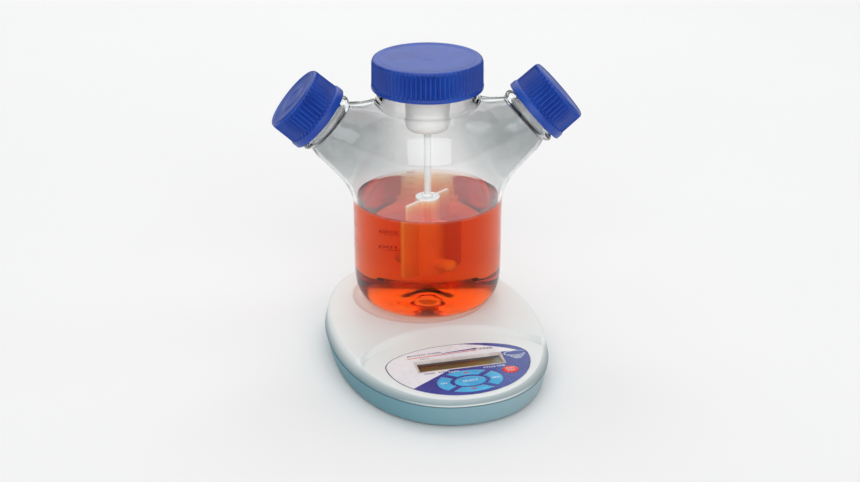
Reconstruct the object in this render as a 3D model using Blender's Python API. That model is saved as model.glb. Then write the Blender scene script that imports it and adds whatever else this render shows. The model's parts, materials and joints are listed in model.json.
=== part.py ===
"""Magnetic stirrer carrying a two-arm spinner flask, built as separate closed parts in one frame.

Helpers take millimetres and write metres. +Z is up and the control panel faces -Y.
The flask's axis stands at (0, FLASK_Y); z = 0 is the bench under the rubber feet.
"""

import math

import bmesh
import bpy
from mathutils import Matrix, Vector

MM = 0.001

# Base housing: a superellipse in plan, drafted above and below its parting line
BASE_X = -7.1  # middle of the base, left of the flask's axis
BASE_HALF_X = 79.9
BASE_HALF_Y = 116.5
BASE_POWER = 2.2
OUTLINE_POINTS = 48
FOOT_TOP = 2.1
SHELL_BOTTOM = 1.5
PARTING = 17.4
PARTING_GAP = 0.45
DECK = 30.0
WALL = 2.6
CEILING = 25.4

# Vessel dish in the deck
DISH_X, DISH_Y = -6.2, 46.0
DISH_FLOOR_R, DISH_EDGE_R = 46.5, 52.8
DISH_FLOOR = 27.9

# Control panel: a shallow facet below a curved ridge
RIDGE_Y, RIDGE_R = -96.0, 82.0
COVE_FOOT_Y, COVE_FOOT_R = -165.5, 134.0
PANEL_X, PANEL_Y, PANEL_Z = -6.0, -62.0, 25.26
PANEL_TILT = math.radians(3.53)
OVERLAY_HALF_X, OVERLAY_BACK, OVERLAY_FRONT = 53.0, 23.0, 45.7
OVERLAY_TOP, OVERLAY_BOTTOM, RECESS = 0.15, -0.35, -0.65
LCD_U, LCD_V, LCD_W, LCD_H = 1.1, -2.4, 64.8, 15.6
RING_U, RING_V = 1.5, -28.0
RING_A, RING_B = 23.8, 14.0
RING_IN_A, RING_IN_B = 14.7, 8.2
RING_SEAM = math.radians(32.5)
SEAM_HALF = 2.1
SELECT_A, SELECT_B = 11.3, 6.1
START_U, START_V, START_A, START_B = 33.8, -19.6, 5.8, 4.4
KEY_TOP, KEY_FOOT, KEY_FLANGE = 0.45, -3.7, 0.8

# Drive
MOTOR_R = 13.0

# Flask
FLASK_Y = 48.2
FLASK_TURN = math.radians(-8.6)
FOOT_Z = 28.2
BODY_R = 56.5
GLASS = 2.5
SHOULDER_Z, SHOULDER_H, SHOULDER_POWER = 140.0, 56.0, 2.3
NECK_R = 36.4
NECK_TOP = 214.7
ARM_RISE = math.radians(41.4)
ARM_REACH, ARM_Z = 79.9, 174.7  # middle of each side cap's open end
ARM_RIM = 22.6
LIQUID_TOP = 109.5

# Caps
CENTRE_CAP_BOTTOM, CENTRE_CAP_TOP, CENTRE_CAP_R = 196.75, 219.5, 41.5
CENTRE_RIBS = 72
SIDE_CAP_LENGTH, SIDE_SKIRT_R, SIDE_CAP_R = 26.4, 27.0, 26.0
SIDE_RIBS = 44

# Impeller
IMPELLER_TURN = math.radians(50.0 - 15.0)
HUB_R, HUB_TOP, HUB_BOTTOM = 9.3, 110.4, 54.0
BLADE_W, BLADE_T, BLADE_TOP, BLADE_BOTTOM = 49.0, 2.8, 109.0, 53.2
SHAFT_R = 2.75
BAR_R, BAR_LENGTH, BAR_Z = 4.7, 43.0, 62.6
WELL_R, WELL_FLOOR = 26.5, 52.0

for leftover in list(bpy.data.objects):
    bpy.data.objects.remove(leftover)


def material(name, color, rough, metallic=0.0, alpha=1.0):
    made = bpy.data.materials.new(name)
    made.use_nodes = True
    shader = made.node_tree.nodes["Principled BSDF"]
    shader.inputs["Base Color"].default_value = (*color, 1.0)
    shader.inputs["Roughness"].default_value = rough
    shader.inputs["Metallic"].default_value = metallic
    shader.inputs["Alpha"].default_value = alpha
    made.diffuse_color = (*color, alpha)
    return made


HOUSING = material("housing", (0.80, 0.78, 0.75), 0.45)
TEAL = material("housing_lower", (0.42, 0.60, 0.66), 0.45)
RUBBER = material("rubber", (0.03, 0.03, 0.03), 0.9)
STEEL = material("steel", (0.55, 0.56, 0.58), 0.3, 1.0)
BOARD = material("board", (0.02, 0.16, 0.07), 0.5)
BLACK = material("black_plastic", (0.02, 0.02, 0.02), 0.5)
OVERLAY = material("overlay", (0.07, 0.10, 0.32), 0.35)
KEY_BLUE = material("key_blue", (0.05, 0.42, 0.72), 0.35)
KEY_RED = material("key_red", (0.80, 0.03, 0.02), 0.35)
BEZEL = material("bezel", (0.78, 0.70, 0.68), 0.35)
LCD = material("lcd_glass", (0.16, 0.17, 0.07), 0.1)
MAGNET = material("magnet", (0.10, 0.10, 0.11), 0.35, 0.8)
GLASS_MAT = material("glass", (0.85, 0.93, 0.95), 0.05, 0.0, 0.35)
MEDIUM = material("medium", (0.85, 0.12, 0.02), 0.1, 0.0, 0.7)
CAP_BLUE = material("cap_blue", (0.02, 0.05, 0.38), 0.4)
SEAL = material("seal", (0.85, 0.85, 0.83), 0.5)
PTFE = material("ptfe", (0.90, 0.90, 0.88), 0.4)
SHAFT_GLASS = material("shaft_glass", (0.85, 0.90, 0.92), 0.05)


def frame_at(x, y, z, turn=None):
    place = Matrix.Translation(Vector((x, y, z)))
    return place @ turn if turn else place


PANEL = frame_at(PANEL_X, PANEL_Y, PANEL_Z, Matrix.Rotation(PANEL_TILT, 4, "X"))
FLASK = frame_at(0, FLASK_Y, 0, Matrix.Rotation(FLASK_TURN, 4, "Z"))
FLASK_AXIS = frame_at(0, FLASK_Y, 0)
IMPELLER = frame_at(0, FLASK_Y, 0, Matrix.Rotation(IMPELLER_TURN, 4, "Z"))


def arm_frame(side):
    """Local +Z leaves along the arm; the origin is the middle of the cap's open end."""
    spin = Matrix.Rotation(0.0 if side > 0 else math.pi, 4, "Z")
    tip = Matrix.Rotation(math.pi / 2 - ARM_RISE, 4, "Y")
    return FLASK @ spin @ Matrix.Translation(Vector((ARM_REACH, 0, ARM_Z))) @ tip


def solid(name, points, faces, look, frame=None):
    """One object from millimetre points, with its faces turned outwards."""
    shape = bmesh.new()
    made = [shape.verts.new(MM * (frame @ Vector(p) if frame else Vector(p))) for p in points]
    for face in faces:
        shape.faces.new([made[i] for i in face])
    bmesh.ops.recalc_face_normals(shape, faces=shape.faces)
    mesh = bpy.data.meshes.new(name)
    shape.to_mesh(mesh)
    shape.free()
    mesh.materials.append(look)
    made_object = bpy.data.objects.new(name, mesh)
    bpy.context.collection.objects.link(made_object)
    return made_object


def loft(name, rings, look, frame=None):
    """Closed rings of equal count, joined in order and capped at both ends."""
    count = len(rings[0])
    points = [p for ring in rings for p in ring]
    faces = [tuple(range(count)), tuple(range(len(points) - count, len(points)))]
    for level in range(len(rings) - 1):
        a, b = level * count, (level + 1) * count
        for i in range(count):
            j = (i + 1) % count
            faces.append((a + i, a + j, b + j, b + i))
    return solid(name, points, faces, look, frame)


def lathe(name, profile, look, frame=None, segments=36):
    """A closed (radius, height) profile turned about local Z."""
    points, rows = [], []
    for radius, height in profile:
        if radius < 1e-6:
            rows.append([len(points)] * segments)
            points.append((0.0, 0.0, height))
            continue
        rows.append(list(range(len(points), len(points) + segments)))
        for i in range(segments):
            turn = 2 * math.pi * i / segments
            points.append((radius * math.cos(turn), radius * math.sin(turn), height))
    faces = []
    for low, high in zip(rows, rows[1:] + rows[:1]):
        for i in range(segments):
            j = (i + 1) % segments
            corners = list(dict.fromkeys((low[i], low[j], high[j], high[i])))
            if len(corners) > 2:
                faces.append(tuple(corners))
    return solid(name, points, faces, look, frame)


def prism(name, outline, low, high, look, frame=None):
    return loft(name, [[(x, y, z) for x, y in outline] for z in (low, high)], look, frame)


def box(name, middle, size, look, frame=None):
    x, y, z = middle
    a, b, c = (s / 2 for s in size)
    outline = [(x - a, y - b), (x + a, y - b), (x + a, y + b), (x - a, y + b)]
    return prism(name, outline, z - c, z + c, look, frame)


def combine(target, tool, operation):
    """Applies one exact Boolean and drops the tool."""
    step = target.modifiers.new("shape", "BOOLEAN")
    step.operation, step.solver, step.object = operation, "EXACT", tool
    graph = bpy.context.evaluated_depsgraph_get()
    result = bpy.data.meshes.new_from_object(target.evaluated_get(graph))
    look = target.data.materials[0]
    target.modifiers.clear()
    tidy = bmesh.new()
    tidy.from_mesh(result)
    bmesh.ops.remove_doubles(tidy, verts=tidy.verts, dist=1e-6)
    tidy.to_mesh(result)
    tidy.free()
    target.data = result
    result.materials.clear()
    result.materials.append(look)
    bpy.data.objects.remove(tool)
    return target


def cut(target, tool):
    return combine(target, tool, "DIFFERENCE")


def join(target, tool):
    return combine(target, tool, "UNION")


def ellipse(u, v, a, b_back, b_front=None, count=40):
    b_front = b_back if b_front is None else b_front
    outline = []
    for i in range(count):
        turn = 2 * math.pi * i / count
        b = b_back if math.sin(turn) >= 0 else b_front
        outline.append((u + a * math.cos(turn), v + b * math.sin(turn)))
    return outline


def base_ring(inset, z):
    ring = []
    for i in range(OUTLINE_POINTS):
        turn = 2 * math.pi * i / OUTLINE_POINTS
        c, s = math.cos(turn), math.sin(turn)
        x = math.copysign(abs(c) ** (2 / BASE_POWER), c) * (BASE_HALF_X - inset)
        y = math.copysign(abs(s) ** (2 / BASE_POWER), s) * (BASE_HALF_Y - inset)
        ring.append((BASE_X + x, y, z))
    return ring


def panel_height(y):
    return PANEL_Z + math.tan(PANEL_TILT) * (y - PANEL_Y)


# ---------------------------------------------------------------- base housing

SCREW_SPOTS = [(-52.4, -67.2), (40.4, -67.2), (-59.3, 61.2), (47.3, 61.2)]
FEET_SPOTS = [(-50, -50), (38, -50), (-48, 76), (36, 76)]


def make_lower_housing():
    levels = [(5.0, SHELL_BOTTOM), (3.2, 3.4), (0.1, PARTING - 0.4), (0.4, PARTING)]
    shell = loft("lower_housing", [base_ring(d, z) for d, z in levels], TEAL)
    hollow = [(d + WALL, z) for d, z in ((3.2, 4.2), (0.1, PARTING + 1))]
    cut(shell, loft("hollow", [base_ring(d, z) for d, z in hollow], TEAL))
    for x, y in SCREW_SPOTS:
        post = [(0, 3.5), (4.2, 3.5), (4.2, PARTING - 1.0), (0, PARTING - 1.0)]
        join(shell, lathe("post", post, TEAL, frame_at(x, y, 0), 12))
        hole = [(0, 0), (3.6, 0), (3.6, 6.0), (1.8, 6.0), (1.8, 20.0), (0, 20.0)]
        cut(shell, lathe("hole", hole, TEAL, frame_at(x, y, 0), 12))
    for x, y in FEET_SPOTS:
        cut(shell, lathe("seat", [(0, 0), (7.4, 0), (7.4, 2.4), (0, 2.4)], TEAL, frame_at(x, y, 0), 16))
    for x in (-34, 22):
        for y in (-34, 4):
            peg = [(0, 3.8), (2.4, 3.8), (2.4, 6.7), (0, 6.7)]
            join(shell, lathe("peg", peg, TEAL, frame_at(x, y, 0), 8))
    cup = [(MOTOR_R + 0.5, 3.8), (MOTOR_R + 2.5, 3.8), (MOTOR_R + 2.5, 9.0), (MOTOR_R + 0.5, 9.0)]
    join(shell, lathe("cup", cup, TEAL, frame_at(DISH_X, DISH_Y, 0), 24))
    inlet = Matrix.Rotation(-math.pi / 2, 4, "X")
    cut(shell, lathe("inlet_hole", [(0, -20), (4.6, -20), (4.6, 20), (0, 20)], TEAL,
                     frame_at(BASE_X, BASE_HALF_Y, 10.0, inlet), 16))
    for i in range(5):
        cut(shell, box("vent", (BASE_X + 24 + 7 * i, 40, 2), (2.6, 26, 8), TEAL))
    return shell


def panel_cutter():
    """Everything above the tilted facet, closing up to the deck through a concave cove."""
    count, start = 50, math.radians(27)
    rings = [[] for _ in range(7)]
    for i in range(count):
        turn = 2 * math.pi * i / count
        c, s = math.cos(turn), math.sin(turn)
        inside = start <= turn <= math.pi - start
        outer = RIDGE_R if inside else 140.0
        foot = outer - 6.0
        if inside:
            # where this ray meets the arc that ends the cove
            lift = RIDGE_Y - COVE_FOOT_Y
            reach = -lift * s + math.sqrt((lift * s) ** 2 - lift * lift + COVE_FOOT_R ** 2)
            foot = min(reach, outer - 3.5)
        for level in range(5):
            share = level / 4
            r = outer + (foot - outer) * share
            x, y = BASE_X + r * c, RIDGE_Y + r * s
            floor = panel_height(y)
            z = floor + (DECK + 0.02 - floor) * (1 - share) ** 2.1 if inside else floor
            rings[level + 1].append((x, y, z))
        rings[0].append((rings[1][-1][0], rings[1][-1][1], 45.0))
        y = RIDGE_Y + 0.4 * foot * s
        rings[6].append((BASE_X + 0.4 * foot * c, y, panel_height(y)))
    return loft("panel_cutter", rings, HOUSING)


def ring_key(first, last, grow=0.0):
    """One segment of the key ring between two seam angles, grown or shrunk by a margin."""
    outline = []
    for a, b, order in ((RING_A + grow, RING_B + grow, 1), (RING_IN_A - grow, RING_IN_B - grow, -1)):
        ends = []
        for angle, sign in ((first, 1), (last, -1)):
            radius = a * b / math.hypot(b * math.cos(angle), a * math.sin(angle))
            ends.append(angle + sign * math.asin((SEAM_HALF - grow) / radius))
        turns = [ends[0] + (ends[1] - ends[0]) * i / 6 for i in range(7)]
        for turn in turns[::order]:
            radius = a * b / math.hypot(b * math.cos(turn), a * math.sin(turn))
            outline.append((RING_U + radius * math.cos(turn), RING_V + radius * math.sin(turn)))
    return outline


def key_shapes(grow=0.0):
    s, half = RING_SEAM, math.pi
    return {
        "key_right": ring_key(-s, s, grow),
        "key_up": ring_key(s, half - s, grow),
        "key_left": ring_key(half - s, half + s, grow),
        "key_down": ring_key(half + s, 2 * half - s, grow),
        "key_select": ellipse(RING_U + 0.1, RING_V - 0.3, SELECT_A + grow, SELECT_B + grow, count=18),
        "key_start": ellipse(START_U, START_V, START_A + grow, START_B + grow, count=18),
    }


def make_upper_housing():
    low = PARTING + PARTING_GAP
    levels = [(0.5, low), (0.3, low + 0.4), (2.8, 27.8), (3.8, 29.3), (6.0, DECK)]
    shell = loft("upper_housing", [base_ring(d, z) for d, z in levels], HOUSING)
    cut(shell, panel_cutter())
    dish = [(0, DISH_FLOOR), (DISH_FLOOR_R, DISH_FLOOR), (DISH_FLOOR_R + 2.2, DISH_FLOOR + 0.3),
            (DISH_EDGE_R - 1.8, DISH_FLOOR + 1.2), (DISH_EDGE_R, DECK + 0.1), (DISH_EDGE_R, 40), (0, 40)]
    cut(shell, lathe("dish", dish, HOUSING, frame_at(DISH_X, DISH_Y, 0), 40))

    hollow = loft("hollow", [base_ring(d, z) for d, z in ((0.5 + WALL, low - 1), (2.2 + WALL, CEILING))], HOUSING)
    under = Matrix.Translation(Vector((0, 0, -WALL)))
    cut(hollow, box("slope", (0, -60, 20), (300, 250, 40), HOUSING, PANEL @ under))
    cut(shell, hollow)
    for x, y in SCREW_SPOTS:
        top = min(panel_height(y) - 1.0, CEILING + 1)
        post = [(0, low + 0.1), (4.2, low + 0.1), (4.2, top), (0, top)]
        join(shell, lathe("post", post, HOUSING, frame_at(x, y, 0), 12))
        cut(shell, lathe("hole", [(0, 10), (1.7, 10), (1.7, top - 2.2), (0, top - 2.2)], HOUSING,
                         frame_at(x, y, 0), 12))

    pocket = ellipse(0, 0, OVERLAY_HALF_X + 0.3, OVERLAY_BACK + 0.3, OVERLAY_FRONT + 0.3, 48)
    cut(shell, prism("pocket", pocket, RECESS, 6, HOUSING, PANEL))
    cut(shell, box("window", (LCD_U, LCD_V, 0), (LCD_W + 0.6, LCD_H + 0.6, 12), HOUSING, PANEL))
    for name, outline in key_shapes(0.3).items():
        cut(shell, prism(name + "_hole", outline, -6, 6, HOUSING, PANEL))
    return shell


def make_feet_and_screws():
    for i, (x, y) in enumerate(FEET_SPOTS, 1):
        profile = [(0, 0), (6.2, 0), (7.0, 0.7), (7.0, FOOT_TOP), (0, FOOT_TOP)]
        lathe(f"rubber_foot_{i}", profile, RUBBER, frame_at(x, y, 0), 16)
    for i, (x, y) in enumerate(SCREW_SPOTS, 1):
        top = min(panel_height(y) - 3.6, CEILING - 3.6)
        profile = [(0, 3.2), (1.1, 3.2), (1.1, 2.2), (3.2, 2.2), (3.2, 5.7), (1.4, 5.7), (1.4, top), (0, top)]
        lathe(f"case_screw_{i}", profile, STEEL, frame_at(x, y, 0), 10)


# ---------------------------------------------------------------- panel, boards and keys


def make_panel():
    outline = ellipse(0, 0, OVERLAY_HALF_X, OVERLAY_BACK, OVERLAY_FRONT, 48)
    sheet = prism("panel_overlay", outline, OVERLAY_BOTTOM, OVERLAY_TOP, OVERLAY, PANEL)
    cut(sheet, box("window", (LCD_U, LCD_V, 0), (LCD_W + 0.6, LCD_H + 0.6, 12), OVERLAY, PANEL))
    for name, hole in key_shapes(0.3).items():
        cut(sheet, prism(name + "_hole", hole, -6, 6, OVERLAY, PANEL))

    def rectangle(w, h, n):
        return [(LCD_U + a * w / 2, LCD_V + b * h / 2, n) for a, b in ((-1, -1), (1, -1), (1, 1), (-1, 1))]

    w, h = LCD_W, LCD_H
    rings = [rectangle(w, h, 0.25), rectangle(w, h, -2.6), rectangle(w - 4.4, h - 4.0, -2.6),
             rectangle(w - 4.4, h - 4.0, -1.7), rectangle(w - 0.9, h - 0.9, 0.25)]
    points = [p for ring in rings for p in ring]
    faces = [(4 * k + i, 4 * k + (i + 1) % 4, 4 * ((k + 1) % 5) + (i + 1) % 4, 4 * ((k + 1) % 5) + i)
             for k in range(5) for i in range(4)]
    solid("lcd_bezel", points, faces, BEZEL, PANEL)
    box("lcd_glass", (LCD_U, LCD_V, -3.4), (w - 1.6, h - 1.6, 1.0), LCD, PANEL)
    module = box("lcd_module", (LCD_U, LCD_V, -6.4), (w + 2, h + 4, 4.4), BLACK, PANEL)
    for side in (-1, 1):
        ear = (LCD_U + side * (w / 2 + 3), LCD_V, -7.8)
        join(module, box("ear", ear, (6, 6, 1.2), BLACK, PANEL))

    board = [(-40.8, 12)] + [(0.77 * x, 0.86 * y) for x, y in
                           ellipse(0, 0, OVERLAY_HALF_X, OVERLAY_BACK, OVERLAY_FRONT, 32) if y <= 0] + [(40.8, 12)]
    prism("display_board", board, -10.5, -8.9, BOARD, PANEL)

    spots = {"key_right": (20.6, -28), "key_up": (1.5, -17), "key_left": (-17.8, -28),
             "key_down": (1.5, -39), "key_select": (1.6, -28.3), "key_start": (START_U - 2, START_V)}
    shapes, flanges, tops = key_shapes(), key_shapes(KEY_FLANGE), key_shapes(-0.2)
    for name, outline in shapes.items():
        levels = [(flanges[name], KEY_FOOT), (flanges[name], -2.9), (outline, -2.9), (outline, KEY_TOP - 0.15),
                  (tops[name], KEY_TOP)]
        rings = [[(u, v, n) for u, v in ring] for ring, n in levels]
        loft(name, rings, KEY_RED if name == "key_start" else KEY_BLUE, PANEL)
        u, v = spots[name]
        switch = box("switch_" + name[4:], (u, v, -7.0), (5.2, 3.6, 3.2), BLACK, PANEL)
        join(switch, lathe("plunger", [(0, -6), (1.3, -6), (1.3, -4.3), (0, -4.3)], BLACK,
                           PANEL @ Matrix.Translation(Vector((u, v, 0))), 8))


def make_electronics():
    box("control_board", (-6, -15, 7.8), (66, 48, 1.6), BOARD)
    box("processor_chip", (-14, -20, 9.8), (12, 12, 1.8), BLACK)
    box("driver_chip", (14, -6, 9.7), (8, 6, 1.6), BLACK)
    lathe("capacitor", [(0, 8.9), (4, 8.9), (4, 15.5), (3.6, 16), (0, 16)], STEEL, frame_at(16, -26, 0), 12)
    socket = box("dc_inlet", (BASE_X, BASE_HALF_Y - 13.0, 10.0), (9, 11, 9), BLACK)
    along = Matrix.Rotation(-math.pi / 2, 4, "X")
    nose = frame_at(BASE_X, BASE_HALF_Y - 5.2, 10.0, along)
    join(socket, lathe("nose", [(0, -4), (4.2, -4), (4.2, 3.6), (0, 3.6)], BLACK, nose, 16))
    cut(socket, lathe("bore", [(0, -7), (3.2, -7), (3.2, 9), (0, 9)], BLACK, nose, 12))
    ribbon = [(-12, -38.6), (-12, -44), (-12, -50)]
    heights = [9.1, 9.6, 12.0]
    rings = []
    for (x, y), z in zip(ribbon, heights):
        rings.append([(x - 8, y, z), (x + 8, y, z), (x + 8, y, z + 0.7), (x - 8, y, z + 0.7)])
    loft("ribbon_cable", rings, BEZEL)


def make_drive():
    here = frame_at(DISH_X, DISH_Y, 0)
    can = [(0, 4.6), (MOTOR_R - 1, 4.6), (MOTOR_R, 5.4), (MOTOR_R, 13.2), (4.5, 13.2), (4.5, 14.6),
           (2.0, 14.6), (2.0, 12.0), (0, 12.0)]
    lathe("drive_motor", can, STEEL, here, 20)
    plate = box("motor_bracket", (DISH_X, DISH_Y, 14.0), (48, 18, 1.0), STEEL)
    cut(plate, lathe("hole", [(0, 10), (5.0, 10), (5.0, 18), (0, 18)], STEEL, here, 16))
    for i, side in enumerate((-1, 1), 1):
        spot = frame_at(DISH_X + 20 * side, DISH_Y, 0)
        cut(plate, lathe("hole", [(0, 10), (1.8, 10), (1.8, 18), (0, 18)], STEEL, spot, 10))
        leg = [(0, 4.6), (4, 4.6), (4, 13.2), (1.8, 13.2), (1.8, 9), (0, 9)]
        lathe(f"motor_standoff_{i}", leg, STEEL, spot, 10)
        screw = [(0, 9.4), (1.4, 9.4), (1.4, 14.8), (3.0, 14.8), (3.0, 16.2), (2.4, 16.8), (0, 16.8)]
        lathe(f"motor_screw_{i}", screw, STEEL, spot, 10)
    lathe("motor_shaft", [(0, 12.4), (1.5, 12.4), (1.5, 21.2), (0, 21.2)], STEEL, here, 12)
    hub = [(1.8, 17.2), (22.5, 17.2), (22.5, 21.5), (1.8, 21.5)]
    carrier = lathe("magnet_carrier", hub, BLACK, here, 28)
    for name, side in (("drive_magnet_north", -1), ("drive_magnet_south", 1)):
        spot = frame_at(DISH_X + 15 * side * math.cos(IMPELLER_TURN + math.pi / 2),
                        DISH_Y + 15 * side * math.sin(IMPELLER_TURN + math.pi / 2), 0)
        cut(carrier, lathe("pocket", [(0, 18.3), (6.0, 18.3), (6.0, 26), (0, 26)], BLACK, spot, 14))
        lathe(name, [(0, 18.6), (5.7, 18.6), (5.7, 23.0), (0, 23.0)], MAGNET, spot, 14)


# ---------------------------------------------------------------- flask and medium


def shoulder(radius, steps, lowest, highest):
    """The shoulder's arc from the wall up towards the neck, kept GLASS thick by its radius."""
    thin = BODY_R - radius
    arc = []
    for i in range(steps):
        turn = math.radians(lowest + (highest - lowest) * i / (steps - 1))
        r = radius * math.cos(turn) ** (2 / SHOULDER_POWER)
        z = SHOULDER_Z + (SHOULDER_H - thin) * math.sin(turn) ** (2 / SHOULDER_POWER)
        arc.append((r, z))
    return arc


def arm_profile(skin):
    """Radius along one arm; skin is 0 for the outside and GLASS for the bore."""
    rows = [(-62, 28.2), (-40, 25.2), (-16, 23.0), (-8.5, 20.6)]
    if skin:
        rows = [(t, r - skin) for t, r in rows] + [(ARM_RIM + 4, 20.6 - skin)]
    else:
        rows += [(-6.4, 23.6), (-2.8, 24.1), (-0.6, 20.8), (9, 20.8), (10, 22.2), (12, 22.2), (13, 20.8),
                 (ARM_RIM, 20.8)]
    return [(0, rows[0][0])] + [(r, t) for t, r in rows] + [(0, rows[-1][0])]


def make_flask():
    outer = [(0, 37.0), (5, 36.0), (9, 33.0), (14, 31.0), (34, FOOT_Z), (38, FOOT_Z), (44, 29.7),
             (48.7, 32.6), (52.7, 37.4), (55.4, 45), (BODY_R, 62), (BODY_R, SHOULDER_Z)]
    outer += shoulder(BODY_R, 6, 0, 48.5)[1:]
    outer += [(37.4, 185.5), (NECK_R, 188.5), (NECK_R, 201), (38.2, 202), (38.2, 205), (NECK_R, 206),
              (NECK_R + 0.4, NECK_TOP), (0, NECK_TOP)]
    flask = lathe("flask_glass", outer, GLASS_MAT, FLASK, 32)
    for side in (1, -1):
        join(flask, lathe("arm", arm_profile(0), GLASS_MAT, arm_frame(side), 24))
    inner = [(0, 41.5), (5, 40.3), (8.5, 37.2), (14, 34.6), (33, 32.0), (41.5, 32.8), (47, 36.0), (50.6, 41.0),
             (53, 48), (BODY_R - GLASS, 62), (BODY_R - GLASS, SHOULDER_Z)]
    inner += shoulder(BODY_R - GLASS, 6, 0, 49.5)[1:]
    inner += [(NECK_R - GLASS + 1.0, 184.2), (NECK_R - GLASS, 187.2), (NECK_R - GLASS, 230), (0, 230)]
    bore = lathe("bore", inner, GLASS_MAT, FLASK, 32)
    for side in (1, -1):
        join(bore, lathe("arm_bore", arm_profile(GLASS), GLASS_MAT, arm_frame(side), 24))
    return cut(flask, bore)


def make_medium():
    """The liquid, with a well of revolution left clear for the turning paddle."""
    skin = 0.35
    wall = BODY_R - GLASS - skin
    profile = [(0, 41.5 + skin), (5.2, 40.5 + skin), (8.8, 37.3 + skin), (14.1, 34.7 + skin), (33, 32.0 + skin),
               (41.3, 32.8 + skin), (46.7, 36.1 + skin), (50.2, 41.1 + skin), (52.6, 48.1), (wall, 62), (wall, LIQUID_TOP),
               (WELL_R, LIQUID_TOP), (WELL_R, WELL_FLOOR), (0, WELL_FLOOR)]
    lathe("culture_medium", profile, MEDIUM, FLASK, 32)


# ---------------------------------------------------------------- caps


def ribbed(radius_at, ribs, depth, z):
    """A ring with one crest and one groove per rib."""
    ring = []
    for i in range(2 * ribs):
        turn = math.pi * i / ribs
        r = radius_at - (depth if i % 2 else 0.0)
        ring.append((r * math.cos(turn), r * math.sin(turn), z))
    return ring


def make_centre_cap():
    ribs, r = CENTRE_RIBS, CENTRE_CAP_R
    low, high = CENTRE_CAP_BOTTOM, CENTRE_CAP_TOP
    levels = [(r + 0.7, 0, low), (r + 0.7, 0, low + 2.4), (r, 0.8, low + 3.4), (r - 0.2, 0.8, high - 2.4),
              (r - 2.0, 0, high)]
    cap = loft("centre_cap", [ribbed(a, ribs, d, z) for a, d, z in levels], CAP_BLUE, FLASK)
    cut(cap, lathe("dish", [(0, high - 1.0), (4, high - 0.7), (34, high - 0.6), (36, high + 0.1), (36, high + 5),
                            (0, high + 5)], CAP_BLUE, FLASK, 28))
    cut(cap, lathe("hollow", [(0, low - 5), (39.4, low - 5), (39.4, high - 3.0), (38.6, high - 2.7), (0, high - 2.7)],
                   CAP_BLUE, FLASK, 32))
    rim = NECK_TOP + 0.3
    lathe("centre_gasket", [(34.2, rim), (38.0, rim), (38.0, rim + 1.4), (34.2, rim + 1.4)], SEAL, FLASK, 24)
    body = [(3.4, 163.5), (11.5, 163.5), (15.0, 164.8), (16.6, 168.0), (16.6, 186.0), (17.4, 187.2), (17.4, 210.0),
            (33.0, 210.6), (33.0, 216.2), (7.4, 216.2), (7.4, 196.0), (3.4, 196.0)]
    lathe("impeller_adaptor", body, PTFE, FLASK, 20)
    lathe("shaft_bearing", [(3.1, 196.3), (7.0, 196.3), (7.0, 201.0), (3.1, 201.0)], STEEL, FLASK, 16)


def make_side_cap(side, name):
    here = arm_frame(side)
    ribs, r, top = SIDE_RIBS, SIDE_CAP_R, SIDE_CAP_LENGTH
    levels = [(SIDE_SKIRT_R, 0, 0.0), (SIDE_SKIRT_R - 0.1, 0, 5.0), (r, 0.9, 7.8), (r - 0.3, 0.9, top - 2.4),
              (r - 2.0, 0, top)]
    cap = loft(f"{name}_cap", [ribbed(a, ribs, d, z) for a, d, z in levels], CAP_BLUE, here)
    cut(cap, lathe("hollow", [(0, -5), (22.9, -5), (22.9, 23.6), (22.2, 24.5), (0, 24.5)], CAP_BLUE, here, 24))
    seal = [(0, ARM_RIM + 0.3), (21.6, ARM_RIM + 0.3), (21.6, ARM_RIM + 1.6), (0, ARM_RIM + 1.6)]
    lathe(f"{name}_seal", seal, SEAL, here, 24)


# ---------------------------------------------------------------- impeller


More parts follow.
